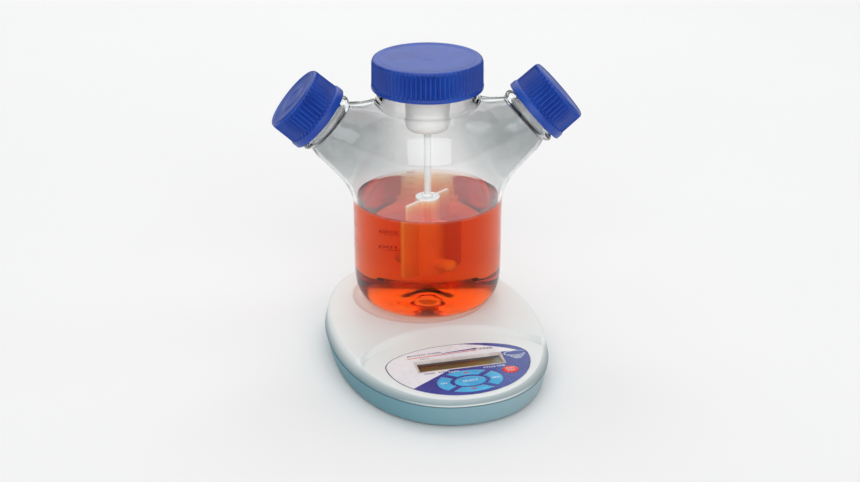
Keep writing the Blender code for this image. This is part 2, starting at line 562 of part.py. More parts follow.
def make_impeller():
    hub = [(0, HUB_BOTTOM), (HUB_R - 1, HUB_BOTTOM), (HUB_R, HUB_BOTTOM + 1), (HUB_R, HUB_TOP), (0, HUB_TOP)]
    paddle = lathe("paddle", hub, PTFE, IMPELLER, 24)
    half, chamfer, corner = BLADE_W / 2, 2.0, 4.0
    outline = [(-half + corner, BLADE_BOTTOM), (half - corner, BLADE_BOTTOM)]
    for step in range(1, 4):
        turn = math.radians(-90 + 30 * step)
        outline.append((half - corner + corner * math.cos(turn), BLADE_BOTTOM + corner * (1 + math.sin(turn))))
    outline += [(half, BLADE_TOP - chamfer), (half - chamfer, BLADE_TOP)]
    outline += [(-x, z) for x, z in outline[:1:-1]]
    upright = IMPELLER @ Matrix.Rotation(math.pi / 2, 4, "X")
    join(paddle, prism("blade", outline, -BLADE_T / 2, BLADE_T / 2, PTFE, upright))
    cut(paddle, lathe("socket", [(0, 90), (SHAFT_R + 0.3, 90), (SHAFT_R + 0.3, 120), (0, 120)], PTFE, IMPELLER, 12))
    across = frame_at(0, FLASK_Y, BAR_Z, Matrix.Rotation(IMPELLER_TURN + math.pi / 2, 4, "Z"))
    across = across @ Matrix.Rotation(math.pi / 2, 4, "Y")
    reach = BAR_LENGTH / 2
    cut(paddle, lathe("cross_bore", [(0, -40), (BAR_R + 0.3, -40), (BAR_R + 0.3, 40), (0, 40)], PTFE, across, 16))
    ends = [(BAR_R * math.sin(math.radians(a)), -reach + BAR_R - BAR_R * math.cos(math.radians(a)))
            for a in (0, 30, 60, 90)]
    lathe("stir_bar", ends + [(r, -z) for r, z in ends[::-1]], PTFE, across, 16)
    lathe("impeller_shaft", [(0, 90.3), (SHAFT_R, 90.3), (SHAFT_R, 205.6), (SHAFT_R - 0.4, 206), (0, 206)],
          SHAFT_GLASS, IMPELLER, 12)
    inner = SHAFT_R + 0.3
    lathe("shaft_collar", [(inner, HUB_TOP + 0.3), (4.2, HUB_TOP + 0.3), (3.9, 112.9), (inner, 112.9)], PTFE, IMPELLER, 16)
    lathe("shaft_clip", [(inner, 201.3), (5.6, 201.3), (5.6, 203.4), (inner, 203.4)], STEEL, IMPELLER, 14)


make_lower_housing()
make_upper_housing()
make_feet_and_screws()
make_panel()
make_electronics()
make_drive()
make_flask()
make_medium()
make_centre_cap()
make_side_cap(-1, "left")
make_side_cap(1, "right")
make_impeller()
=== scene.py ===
"""Visual model of the magnetic stirrer and its spinner flask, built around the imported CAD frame.

Helpers take millimetres in the row frame and write metres. The control panel faces -Y.
"""

import json
import math

import bmesh
import bpy
import numpy as np
from mathutils import Matrix, Vector
from mathutils.geometry import delaunay_2d_cdt


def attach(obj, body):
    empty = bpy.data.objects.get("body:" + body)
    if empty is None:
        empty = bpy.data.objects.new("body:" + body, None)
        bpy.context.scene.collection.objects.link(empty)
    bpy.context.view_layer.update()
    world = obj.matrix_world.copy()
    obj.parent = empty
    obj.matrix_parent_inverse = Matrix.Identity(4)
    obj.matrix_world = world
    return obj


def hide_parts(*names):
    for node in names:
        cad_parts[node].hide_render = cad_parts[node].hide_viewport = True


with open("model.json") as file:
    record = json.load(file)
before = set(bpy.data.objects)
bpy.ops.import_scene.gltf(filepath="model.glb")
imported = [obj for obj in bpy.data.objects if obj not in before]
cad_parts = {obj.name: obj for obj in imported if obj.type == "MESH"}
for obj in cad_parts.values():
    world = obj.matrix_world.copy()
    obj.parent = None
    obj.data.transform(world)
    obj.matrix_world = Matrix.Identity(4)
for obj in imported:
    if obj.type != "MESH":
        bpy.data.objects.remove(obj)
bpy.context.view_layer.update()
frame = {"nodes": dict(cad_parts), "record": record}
nodes = frame["nodes"]
MM = 0.001

# ---------------------------------------------------------------- shared sizes

BASE_X, BASE_HALF_X, BASE_HALF_Y, BASE_POWER = -7.1, 79.9, 116.5, 2.2
SEAM_LOW, SEAM_HIGH, DECK, SKIN, SHOULDER = 17.4, 17.85, 30.0, 2.65, 2.6
DISH_X, DISH_Y, DISH_R, DISH_RUN, DISH_DROP = -6.2, 46.0, 46.5, 6.3, 2.1
RIDGE_Y, RIDGE_R = -96.0, 82.0
COVE_Y, COVE_R = -165.5, 134.0
PANEL_X, PANEL_Y, PANEL_Z, PANEL_TILT = -6.0, -62.0, 25.26, math.radians(3.53)
SHEET_A, SHEET_BACK, SHEET_FRONT = 53.0, 23.0, 45.7
SHEET_TOP, SHEET_LOW, RECESS = 0.15, -0.35, -0.65
LCD_U, LCD_V, LCD_W, LCD_H = 1.1, -2.4, 64.8, 15.6
RING_U, RING_V, SEAM_TURN, SEAM_HALF = 1.5, -28.0, math.radians(32.5), 2.1
RING_A, RING_B, RING_IN_A, RING_IN_B = 23.8, 14.0, 14.7, 8.2
FLASK_Y, FLASK_TURN = 48.2, math.radians(-8.6)
BODY_R, GLASS, NECK_R, NECK_TOP = 56.5, 2.5, 36.4, 214.7
ARM_RISE, ARM_REACH, ARM_Z, ARM_RIM = math.radians(41.4), 79.9, 174.7, 22.6
LIQUID_TOP = 109.5
IMPELLER_TURN = math.radians(35.0)
SCREWS = [(-52.4, -67.2), (40.4, -67.2), (-59.3, 61.2), (47.3, 61.2)]
FEET = [(-50, -50), (38, -50), (-48, 76), (36, 76)]


def at(x, y, z, turn=None):
    place = Matrix.Translation(Vector((x, y, z)))
    return place @ turn if turn else place


FLASK = at(0, FLASK_Y, 0, Matrix.Rotation(FLASK_TURN, 4, "Z"))
IMPELLER = at(0, FLASK_Y, 0, Matrix.Rotation(IMPELLER_TURN, 4, "Z"))


def arm_frame(side):
    spin = Matrix.Rotation(0.0 if side > 0 else math.pi, 4, "Z")
    tip = Matrix.Rotation(math.pi / 2 - ARM_RISE, 4, "Y")
    return FLASK @ spin @ Matrix.Translation(Vector((ARM_REACH, 0, ARM_Z))) @ tip


# ---------------------------------------------------------------- materials


def linear(r, g, b):
    """A colour given as 0-255 screen values."""
    return tuple(((c / 255 + 0.055) / 1.055) ** 2.4 if c > 10 else c / 255 / 12.92 for c in (r, g, b))


class Look:
    """A Principled material whose colour, roughness and bump come from procedural nodes."""

    def __init__(self, name, **sockets):
        self.material = bpy.data.materials.new(name)
        self.material.use_nodes = True
        self.tree = self.material.node_tree
        self.shader = self.tree.nodes["Principled BSDF"]
        self.out = self.tree.nodes["Material Output"]
        self.place = self.tree.nodes.new("ShaderNodeTexCoord").outputs["Object"]
        for socket, value in sockets.items():
            self.shader.inputs[socket.replace("_", " ")].default_value = value

    def node(self, kind, wires=(), **settings):
        made = self.tree.nodes.new("ShaderNode" + kind)
        for key, value in settings.items():
            setattr(made, key, value)
        for socket, value in dict(wires).items():
            if isinstance(value, bpy.types.NodeSocket):
                self.tree.links.new(value, made.inputs[socket])
            else:
                made.inputs[socket].default_value = value
        return made

    def noise(self, scale, detail=4.0, rough=0.55, stretch=None):
        source = self.place
        if stretch:
            source = self.node("Mapping", {"Vector": source, "Scale": stretch}).outputs[0]
        return self.node("TexNoise", {"Vector": source, "Scale": scale, "Detail": detail,
                                      "Roughness": rough}).outputs["Fac"]

    def axis(self, which, low, high):
        """0 to 1 along one axis of the row frame, between two heights in millimetres."""
        split = self.node("SeparateXYZ", {0: self.place}).outputs[which]
        return self.node("MapRange", {"Value": split, "From Min": low * MM,
                                      "From Max": high * MM}).outputs[0]

    def ramp(self, source, *stops):
        made = self.node("ValToRGB", {0: source})
        bar = made.color_ramp.elements
        while len(bar) < len(stops):
            bar.new(0.5)
        for element, (spot, color) in zip(bar, stops):
            element.position = spot
            element.color = (*color, 1.0) if len(color) == 3 else color
        return made.outputs["Color"]

    def blend(self, share, a, b, mode="MIX"):
        made = self.node("Mix", data_type="RGBA", blend_type=mode)
        for slot, value in ((0, share), (6, a), (7, b)):
            if isinstance(value, bpy.types.NodeSocket):
                self.tree.links.new(value, made.inputs[slot])
            else:
                made.inputs[slot].default_value = (*value, 1.0) if slot and len(value) == 3 else value
        return made.outputs[2]

    def spread(self, source, low, high):
        return self.node("MapRange", {"Value": source, "To Min": low, "To Max": high}).outputs[0]

    def color(self, socket):
        self.tree.links.new(socket, self.shader.inputs["Base Color"])
        return self

    def rough(self, scale, low, high):
        grain = self.noise(scale, 3.0)
        self.tree.links.new(self.spread(grain, low, high), self.shader.inputs["Roughness"])
        return self

    def bump(self, height, strength, distance):
        made = self.node("Bump", {"Height": height, "Strength": strength, "Distance": distance * MM})
        self.tree.links.new(made.outputs[0], self.shader.inputs["Normal"])
        return self


def plastic(name, dark, light, scale=60.0, rough=(0.35, 0.5), grain=900.0, bump=0.12, depth=0.06, **sockets):
    look = Look(name, **sockets)
    look.color(look.ramp(look.noise(scale), (0.35, dark), (0.65, light)))
    look.rough(scale * 3, *rough)
    return look.bump(look.noise(grain, 2.0), bump, depth)


def housing_look(name, deck, wall, lit_far_wall, low, high, fade=None):
    """Moulded ABS, pale on the flat deck and cooler on its walls: the darker wall colour on faces turned from
    upward is painted shade, and its lightening along X towards the far end is painted light; fade gives the
    heights between the two.
    """
    look = Look(name, Specular_IOR_Level=0.45)
    cloud = look.noise(22.0, 5.0)
    flat = look.ramp(cloud, (0.3, tuple(0.965 * c for c in deck)), (0.7, deck))
    # painted light: the wall colour lightens along X towards the far end
    sides = look.ramp(look.axis(0, -85.0, 73.0), (0.0, wall), (1.0, lit_far_wall))
    # painted shade: faces turned away from upward take the darker wall colour
    facing = look.node("SeparateXYZ", {0: look.node("NewGeometry").outputs["Normal"]}).outputs[2]
    unshaded_share = look.node("MapRange", {"Value": facing, "From Min": low, "From Max": high}).outputs[0]
    if fade:
        unshaded_share = look.node("Math", {0: unshaded_share, 1: look.axis(2, *fade)}, operation="MAXIMUM").outputs[0]
    look.color(look.blend(unshaded_share, sides, flat))
    look.rough(160.0, 0.36, 0.5)
    return look.bump(look.noise(1500.0, 2.0), 0.16, 0.05)


def see_through(look, tint):
    """Lets lamps reach what is behind clear glass or liquid."""
    clear = look.node("BsdfTransparent", {"Color": (*tint, 1.0)})
    lamp = look.node("LightPath").outputs["Is Shadow Ray"]
    mixed = look.node("MixShader", {0: lamp, 1: look.shader.outputs[0], 2: clear.outputs[0]})
    look.tree.links.new(mixed.outputs[0], look.out.inputs["Surface"])
    return look


# Painted shade on both shells: the wall colours are darker than the deck colours, and the lighter far-wall
# colours are painted light.
HOUSING = housing_look("moulded_housing", linear(236, 241, 240), linear(118, 146, 154),
                       linear(152, 164, 167), 0.7, 0.99, (18.5, 27.5))
LOWER = housing_look("moulded_lower", linear(136, 170, 180), linear(90, 146, 160), linear(158, 182, 190),
                     0.6, 0.95)
CAP = plastic("cap_polypropylene", linear(18, 60, 154), linear(24, 74, 172), 45.0, (0.32, 0.42), 700.0, 0.08,
              Specular_IOR_Level=0.4)
RUBBER = plastic("foot_rubber", (0.018, 0.018, 0.018), (0.04, 0.04, 0.042), 200.0, (0.75, 0.9), 1200.0, 0.3)
STEEL = Look("turned_steel", Metallic=1.0)
STEEL.color(STEEL.ramp(STEEL.noise(90.0), (0.3, (0.42, 0.43, 0.45)), (0.7, (0.62, 0.63, 0.65))))
STEEL.rough(500.0, 0.22, 0.4).bump(STEEL.noise(300.0, 2.0, stretch=(1, 1, 12)), 0.1, 0.02)
BLACK = plastic("black_plastic", (0.012, 0.012, 0.013), (0.03, 0.03, 0.032), 120.0, (0.4, 0.55))
MAGNET = plastic("nickelled_magnet", (0.08, 0.08, 0.09), (0.14, 0.14, 0.15), 200.0, (0.25, 0.4),
                 Metallic=0.8)
BOARD = plastic("solder_mask", (0.008, 0.09, 0.035), (0.02, 0.16, 0.06), 300.0, (0.3, 0.5), 2200.0, 0.3)
PTFE = plastic("white_ptfe", linear(242, 241, 238), linear(252, 251, 249), 30.0, (0.35, 0.5), 500.0, 0.08,
               Subsurface_Weight=0.15)
PTFE.shader.inputs["Subsurface Radius"].default_value = (0.003, 0.003, 0.0025)
SEAL = plastic("silicone_seal", linear(222, 221, 214), linear(238, 236, 230), 60.0, (0.4, 0.6))
WHITE_INK = plastic("sheet_white", linear(232, 234, 240), linear(243, 244, 247), 30.0, (0.22, 0.34),
                    1600.0, 0.1)
BLUE_INK = plastic("sheet_blue", linear(46, 66, 146), linear(58, 82, 164), 40.0, (0.2, 0.32), 1600.0, 0.1)
RED_INK = plastic("sheet_red", linear(206, 60, 52), linear(226, 84, 74), 80.0, (0.25, 0.4))
DARK_INK = plastic("sheet_outline", linear(38, 44, 74), linear(60, 66, 96), 80.0, (0.3, 0.45))
KEY = plastic("key_blue", linear(52, 164, 218), linear(72, 186, 232), 90.0, (0.26, 0.38), 1400.0, 0.14)
KEY_RED = plastic("key_red", linear(226, 38, 30), linear(242, 58, 46), 90.0, (0.26, 0.38), 1400.0, 0.14)
KEY_INK = plastic("key_lettering", linear(226, 240, 250), linear(246, 250, 253), 200.0, (0.3, 0.45))
MARK_RED = plastic("arrow_red", linear(196, 52, 60), linear(220, 74, 78), 200.0, (0.3, 0.45))
BEZEL = plastic("bezel_paint", linear(208, 194, 190), linear(230, 220, 216), 90.0, (0.3, 0.42), 1200.0, 0.1)
ENAMEL = plastic("enamel_marks", linear(232, 206, 196), linear(242, 220, 210), 300.0, (0.4, 0.55))

LCD = Look("display_window", Coat_Weight=0.6, Coat_Roughness=0.08)
# painted shade: the olive window darkens towards its back edge, under the bezel's shadow
bezel_shadow_share = LCD.axis(1, -71.0, -58.0)
olive_and_painted_shadow = LCD.ramp(bezel_shadow_share, (0.0, linear(126, 130, 88)), (0.45, linear(102, 107, 70)),
                 (0.72, linear(60, 66, 56)), (1.0, linear(32, 37, 42)))
# painted reflection: darker at the left, brightening past full white near the right end
painted_reflection = LCD.ramp(LCD.axis(0, -34.0, 24.0), (0.0, (0.62, 0.62, 0.62)), (0.55, (0.85, 0.85, 0.85)),
                (0.85, (1.25, 1.25, 1.1)), (1.0, (0.9, 0.9, 0.9)))
cell = LCD.node("TexBrick", {"Vector": LCD.place, "Scale": 1000.0, "Color1": (1, 1, 1, 1),
                             "Color2": (0.97, 0.97, 0.97, 1), "Mortar": (0.86, 0.86, 0.84, 1),
                             "Mortar Size": 0.09, "Brick Width": 0.6, "Row Height": 0.72}, offset=0.0)
LCD.color(LCD.blend(1.0, LCD.blend(1.0, olive_and_painted_shadow, painted_reflection, "MULTIPLY"), cell.outputs[0], "MULTIPLY"))
LCD.rough(200.0, 0.12, 0.2)


def clear_glass(name, mirror):
    """Blown borosilicate, greyer along the arms and up the shoulder as painted shade, with a mottled cloud in
    that grey; mirror scales its reflections, low where wetted.
    """
    look = Look(name, Transmission_Weight=1.0, IOR=1.47, Specular_Tint=(mirror, mirror, mirror, 1.0))
    shade_aside = look.node("Math", {0: look.node("SeparateXYZ", {0: look.place}).outputs[0]},
                      operation="ABSOLUTE")
    shade_aside = look.node("MapRange", {"Value": shade_aside.outputs[0], "From Min": 0.012, "From Max": 0.045,
                                   "To Min": 0.12, "To Max": 1.0}).outputs[0]
    share = look.node("Math", {0: shade_aside, 1: look.axis(2, 112.0, 150.0)}, operation="MULTIPLY").outputs[0]
    # painted shade: a grey, mottled tint away from the axis and above the liquid, clear below and at the
    # middle
    cloud = look.ramp(look.noise(14.0, 3.0), (0.3, (0.55, 0.575, 0.58)), (0.7, (0.66, 0.68, 0.685)))
    look.color(look.blend(share, (0.965, 0.975, 0.975), cloud))
    look.rough(40.0, 0.0, 0.01).bump(look.noise(30.0, 2.0), 0.1, 0.3)
    return see_through(look, (0.98, 0.985, 0.985))


DRY_GLASS, WET_GLASS = clear_glass("blown_glass", 1.0), clear_glass("wetted_glass", 0.05)
LOW_GLASS = clear_glass("filled_glass", 0.25)

ROD_LOOK = Look("rod_glass", Transmission_Weight=0.5, IOR=1.47)
ROD_LOOK.color(ROD_LOOK.ramp(ROD_LOOK.noise(60.0), (0.3, (0.90, 0.92, 0.93)), (0.7, (0.95, 0.96, 0.965))))
ROD_LOOK.rough(80.0, 0.08, 0.16)
see_through(ROD_LOOK, (0.9, 0.92, 0.93))

MEDIUM = Look("culture_medium", Transmission_Weight=1.0, IOR=1.333)
MEDIUM.color(MEDIUM.ramp(MEDIUM.noise(25.0), (0.3, (0.99, 0.95, 0.93)), (0.7, (1.0, 0.97, 0.95))))
MEDIUM.rough(30.0, 0.0, 0.006)
free_top = MEDIUM.ramp(MEDIUM.axis(2, 108.6, 109.4), (0.0, (0.04, 0.04, 0.04)), (1.0, (0.4, 0.4, 0.4)))
MEDIUM.tree.links.new(free_top, MEDIUM.shader.inputs["Specular Tint"])
see_through(MEDIUM, (1.0, 0.98, 0.97))
depth = MEDIUM.node("VolumeAbsorption", {"Color": (0.955, 0.56, 0.0, 1.0), "Density": 66.0})
MEDIUM.tree.links.new(depth.outputs[0], MEDIUM.out.inputs["Volume"])

FLOOR = Look("studio_floor")
FLOOR.color(FLOOR.ramp(FLOOR.noise(3.0), (0.3, (0.895, 0.895, 0.895)), (0.7, (0.905, 0.905, 0.905))))
FLOOR.rough(5.0, 0.8, 0.9)

CAD_LOOKS = {"housing": HOUSING, "housing_lower": LOWER, "rubber": RUBBER, "steel": STEEL, "board": BOARD,
             "black_plastic": BLACK, "bezel": BEZEL, "lcd_glass": LCD, "magnet": MAGNET, "seal": SEAL,
             "ptfe": PTFE, "cap_blue": CAP, "key_blue": KEY, "key_red": KEY_RED, "overlay": WHITE_INK}

# ---------------------------------------------------------------- mesh helpers


def smooth_path(points, count=6):
    """A Catmull-Rom curve through a chain of points."""
    chain = [np.array(p, float) for p in points]
    chain = [2 * chain[0] - chain[1], *chain, 2 * chain[-1] - chain[-2]]
    made = []
    for a, b, c, d in zip(chain, chain[1:], chain[2:], chain[3:]):
        for i in range(count):
            t = i / count
            made.append(tuple(0.5 * (2 * b + (c - a) * t + (2 * a - 5 * b + 4 * c - d) * t * t
                                     + (3 * b - a - 3 * c + d) * t ** 3)))
    return made + [tuple(chain[-2])]


def fillet(outline, radius, steps=4, closed=True, keep=()):
    """Rounds the corners of a 2-D outline; keep lists the corners left sharp."""
    made, count = [], len(outline)
    for i, corner in enumerate(outline):
        if i in keep or (not closed and i in (0, count - 1)):
            made.append(tuple(corner))
            continue
        p = np.array(corner, float)
        a, b = np.array(outline[i - 1], float) - p, np.array(outline[(i + 1) % count], float) - p
        la, lb = np.linalg.norm(a), np.linalg.norm(b)
        reach = min(radius, 0.45 * la, 0.45 * lb)
        a, b = p + a * reach / la, p + b * reach / lb
        for k in range(steps + 1):
            t = k / steps
            made.append(tuple((1 - t) ** 2 * a + 2 * t * (1 - t) * p + t * t * b))
    return made


def face_outward(mesh):
    """Drops loose points and turns every face outward."""
    shape = bmesh.new()
    shape.from_mesh(mesh)
    bmesh.ops.delete(shape, geom=[v for v in shape.verts if not v.link_faces], context="VERTS")
    bmesh.ops.recalc_face_normals(shape, faces=shape.faces)
    shape.to_mesh(mesh)
    shape.free()


def piece(name, points, faces, looks, body, replaced=(), place=None, crease=35.0, marks=None):
    """One object from millimetre points, riding its body and taking its slot."""
    coords = np.array(points, float).reshape(-1, 3)
    if place:
        turn = np.array(place.to_3x3())
        coords = coords @ turn.T + np.array(place.translation)
    mesh = bpy.data.meshes.new(name)
    mesh.from_pydata((coords * MM).tolist(), [], [list(map(int, f)) for f in faces])
    looks = looks if isinstance(looks, (list, tuple)) else [looks]
    for look in looks:
        mesh.materials.append(look.material)
    if marks is not None:
        mesh.polygons.foreach_set("material_index", np.array(marks, np.int32))
    face_outward(mesh)
    mesh.shade_smooth()
    mesh.set_sharp_from_angle(angle=math.radians(crease))
    made = bpy.data.objects.new(name, mesh)
    bpy.context.scene.collection.objects.link(made)
    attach(made, body)
    if replaced:
        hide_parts(*replaced)
    return made


def ring_faces(first, second, count):
    return [(first + i, first + (i + 1) % count, second + (i + 1) % count, second + i) for i in range(count)]


def loft(name, rings, looks, body, replaced=(), place=None, crease=35.0, closed=False):
    """Rings of equal count joined in order; capped at both ends, or joined end to end when closed."""
    count = len(rings[0])
    points = [p for ring in rings for p in ring]
    faces = []
    for level in range(len(rings) - (0 if closed else 1)):
        faces += ring_faces(level * count, (level + 1) % len(rings) * count, count)
    if not closed:
        faces += [tuple(range(count)), tuple(range(len(points) - count, len(points)))]
    return piece(name, points, faces, looks, body, replaced, place, crease)


def turned_points(profile, segments):
    points, rows, faces = [], [], []
    for radius, height in profile:
        if radius < 1e-6:
            rows.append([len(points)] * segments)
            points.append((0.0, 0.0, height))
            continue
        rows.append(list(range(len(points), len(points) + segments)))
        for i in range(segments):
            turn = 2 * math.pi * i / segments
            points.append((radius * math.cos(turn), radius * math.sin(turn), height))
    for low, high in zip(rows, rows[1:] + rows[:1]):
        for i in range(segments):
            j = (i + 1) % segments
            corners = list(dict.fromkeys((low[i], low[j], high[j], high[i])))
            if len(corners) > 2:
                faces.append(tuple(corners))
    return points, faces


def turned(name, profile, looks, body, replaced=(), place=None, segments=96, crease=35.0):
    points, faces = turned_points(profile, segments)
    return piece(name, points, faces, looks, body, replaced, place, crease)


def ellipse(u, v, a, back, front=None, count=96):
    front = back if front is None else front
    turns = [2 * math.pi * i / count for i in range(count)]
    return [(u + a * math.cos(t), v + (back if math.sin(t) >= 0 else front) * math.sin(t)) for t in turns]


def inside(points, outline):
    """Which 2-D points lie in a closed outline."""
    x, y = np.asarray(points, float).T
    hit = np.zeros(len(x), bool)
    for (ax, ay), (bx, by) in zip(outline, list(outline[1:]) + [outline[0]]):
        cross = (ay > y) != (by > y)
        if ay != by:
            hit ^= cross & (x < (bx - ax) * (y - ay) / (by - ay) + ax)
    return hit


def far_from(points, outline, reach):
    """Which 2-D points are at least reach from every corner of an outline."""
    points, outline = np.asarray(points, float), np.asarray(outline, float)
    far = np.ones(len(points), bool)
    for corner in outline:
        far &= ((points - corner) ** 2).sum(1) > reach * reach
    return far


def tiled(outline, holes=(), extra=(), lines=()):
    """Triangles that fill an outline around holes, through extra points and along extra closed lines."""
    loops = [outline, *holes, *lines]
    points, edges = [], []
    for loop in loops:
        start = len(points)
        points += [Vector(p) for p in loop]
        edges += [(start + i, start + (i + 1) % len(loop)) for i in range(len(loop))]
    points += [Vector(p) for p in extra]
    made, _, faces, source, *_ = delaunay_2d_cdt(points, edges, [], 0, 1e-5)
    made = np.array([tuple(p) for p in made])
    faces = np.array(faces)
    middle = made[faces].mean(1)
    keep = inside(middle, outline)
    for hole in holes:
        keep &= ~inside(middle, hole)
    back = {}
    for index, originals in enumerate(source):
        for original in originals:
            back[original] = index
    starts, total = [], 0
    for loop in loops:
        starts.append([back[total + i] for i in range(len(loop))])
        total += len(loop)
    return made, faces[keep], starts


class Build:
    """Gathers points and faces, so that sheets and walls share their edge points."""

    def __init__(self):
        self.points, self.faces, self.marks = [], [], []

    def add(self, points):
        start = len(self.points)
        self.points += [tuple(map(float, p)) for p in points]
        return list(range(start, len(self.points)))

    def strip(self, low, high, mark=0):
        for i in range(len(low)):
            j = (i + 1) % len(low)
            self.faces.append((low[i], low[j], high[j], high[i]))
            self.marks.append(mark)

    def fill(self, faces, mark=0):
        self.faces += [tuple(f) for f in faces]
        self.marks += [mark] * len(faces)


# ---------------------------------------------------------------- base housing


def base_ring(inset, count=240):
    turns = 2 * np.pi * np.arange(count) / count
    c, s = np.cos(turns), np.sin(turns)
    x = np.sign(c) * np.abs(c) ** (2 / BASE_POWER) * (BASE_HALF_X - inset) + BASE_X
    y = np.sign(s) * np.abs(s) ** (2 / BASE_POWER) * (BASE_HALF_Y - inset)
    return np.stack([x, y], 1)


def panel_height(y):
    return PANEL_Z + math.tan(PANEL_TILT) * (y - PANEL_Y)


def soft_least(a, b, width):
    """The smaller of two fields, with the step between them rounded over a width."""
    over = np.clip(width - np.abs(a - b), 0, None) / width
    return np.minimum(a, b) - over * over * width / 4


def top_height(x, y):
    """Height of the upper housing's outside: deck, vessel dish, ridge, cove and panel facet."""
    px, py = x - BASE_X, y - RIDGE_Y
    r = np.hypot(px, py) + 1e-9
    lift, s = RIDGE_Y - COVE_Y, py / r
    foot = np.minimum(-lift * s + np.sqrt((lift * s) ** 2 - lift ** 2 + COVE_R ** 2), RIDGE_R - 3.5)
    share = 1 - (RIDGE_R - r) / (RIDGE_R - foot)
    floor = np.minimum(panel_height(y), DECK - 0.6)
    cove = floor + (DECK - floor) * np.clip(share, 0, 3) ** 2.4
    run = np.clip((np.hypot(x - DISH_X, y - DISH_Y) - DISH_R) / DISH_RUN, 0, None)
    dish = DECK - DISH_DROP + DISH_DROP * run ** 2
    return soft_least(soft_least(cove, np.full_like(x, DECK), 0.5), dish, 0.35)


def on_panel(points, n):
    """Row-frame points of panel coordinates at a height along the panel's normal."""
    c, s = math.cos(PANEL_TILT), math.sin(PANEL_TILT)
    return [(PANEL_X + u, PANEL_Y + v * c - n * s, PANEL_Z + v * s + n * c) for u, v in points]


def ring_key(first, last, grow=0.0, steps=14):
    outline = []
    for a, b, order in ((RING_A + grow, RING_B + grow, 1), (RING_IN_A - grow, RING_IN_B - grow, -1)):
        ends = []
        for angle, sign in ((first, 1), (last, -1)):
            radius = a * b / math.hypot(b * math.cos(angle), a * math.sin(angle))
            ends.append(angle + sign * math.asin((SEAM_HALF - grow) / radius))
        turns = [ends[0] + (ends[1] - ends[0]) * i / steps for i in range(steps + 1)]
        for turn in turns[::order]:
            radius = a * b / math.hypot(b * math.cos(turn), a * math.sin(turn))
            outline.append((RING_U + radius * math.cos(turn), RING_V + radius * math.sin(turn)))
    return outline


def key_outlines(grow=0.0):
    s, half = SEAM_TURN, math.pi
    return {"key_right": ring_key(-s, s, grow), "key_up": ring_key(s, half - s, grow),
            "key_left": ring_key(half - s, half + s, grow),
            "key_down": ring_key(half + s, 2 * half - s, grow),
            "key_select": ellipse(RING_U + 0.1, RING_V - 0.3, 11.3 + grow, 6.1 + grow, count=48),
            "key_start": ellipse(33.8, -19.6, 5.8 + grow, 4.4 + grow, count=36)}


def rectangle(u, v, w, h, corner=0.0, steps=3):
    box = [(u - w / 2, v - h / 2), (u + w / 2, v - h / 2), (u + w / 2, v + h / 2), (u - w / 2, v + h / 2)]
    return fillet(box, corner, steps) if corner else box


def upper_housing():
    made = Build()
    edge_inset = 5.2
    rim = base_ring(edge_inset)
    rim_z = top_height(rim[:, 0], rim[:, 1])
    pocket = [(PANEL_X + u, PANEL_Y + v * math.cos(PANEL_TILT)) for u, v in
              ellipse(0, 0, SHEET_A + 0.3, SHEET_BACK + 0.3, SHEET_FRONT + 0.3, 160)]
    grid = [(x + (1.6 if j % 2 else 0), y) for j, y in enumerate(np.arange(-110, 111, 2.8))
            for x in np.arange(-86, 76, 3.2)]
    turns = np.linspace(0, 2 * np.pi, 181)[:-1]
    for off in (-8, -6.2, -4.6, -3.2, -2.0, -1.2, -0.6, -0.2, 0.2, 0.6, 1.2, 2.2):
        grid += [(BASE_X + (RIDGE_R + off) * math.cos(t), RIDGE_Y + (RIDGE_R + off) * math.sin(t))
                 for t in np.linspace(math.radians(20), math.radians(160), 170)]
    for r in (46.0, 46.8, 48.0, 49.5, 51.0, 52.0, 52.5, 52.9, 53.4, 54.2):
        grid += [(DISH_X + r * math.cos(t), DISH_Y + r * math.sin(t)) for t in turns]
    grid = np.array(grid)
    grid = grid[inside(grid, [tuple(p) for p in rim]) & ~inside(grid, pocket)]
    grid = grid[far_from(grid, rim, 1.2) & far_from(grid, pocket, 1.0)]
    plan, faces, loops = tiled([tuple(p) for p in rim], [pocket], grid)
    height = top_height(plan[:, 0], plan[:, 1])
    top = made.add(np.column_stack([plan, height]))
    under = made.add(np.column_stack([plan, height - SKIN]))
    made.fill([[top[i] for i in f] for f in faces])
    made.fill([[under[i] for i in f] for f in faces])
    rim_top, rim_under = [top[i] for i in loops[0]], [under[i] for i in loops[0]]
    lip, lip_under = [top[i] for i in loops[1]], [under[i] for i in loops[1]]

    # side wall: rounded shoulder, draft, seam edge, then back up inside
    rings = []
    for step in range(1, 6):
        turn = math.radians(90 - 15 * step)
        ring = base_ring(edge_inset - (edge_inset - SHOULDER) * math.cos(turn))
        rings.append((ring, rim_z - SHOULDER * (1 - math.sin(turn))))
    foot = SEAM_HIGH + 0.4
    for share in (0.66, 0.33, 0.0):
        rings.append((base_ring(0.3 + 2.3 * share), foot + (rim_z - 3.0 - foot) * share))
    for inset, z in ((0.55, SEAM_HIGH), (2.9, SEAM_HIGH), (3.1, SEAM_HIGH + 0.3)):
        rings.append((base_ring(inset), np.full(len(rim), z)))
    previous = rim_top
    for ring, z in rings:
        current = made.add(np.column_stack([ring, z]))
        made.strip(previous, current)
        previous = current
    made.strip(previous, rim_under)

    # pocket floor with its window and key holes
    holes = [rectangle(LCD_U, LCD_V, LCD_W + 0.6, LCD_H + 0.6, 0.8)]
    holes += list(key_outlines(0.3).values())
    outline = ellipse(0, 0, SHEET_A + 0.3, SHEET_BACK + 0.3, SHEET_FRONT + 0.3, 160)
    spots, faces, loops = tiled(outline, holes)
    floor = made.add(on_panel(spots, RECESS))
    ring = {index: lip_under[i] for i, index in enumerate(loops[0])}
    lower = made.add(on_panel(spots, -SKIN))
    lower = [ring.get(i, j) for i, j in enumerate(lower)]
    made.fill([[floor[i] for i in f] for f in faces])
    made.fill([[lower[i] for i in f] for f in faces])
    made.strip(lip, [floor[i] for i in loops[0]])
    for loop in loops[1:]:
        made.strip([floor[i] for i in loop], [lower[i] for i in loop])
    return made


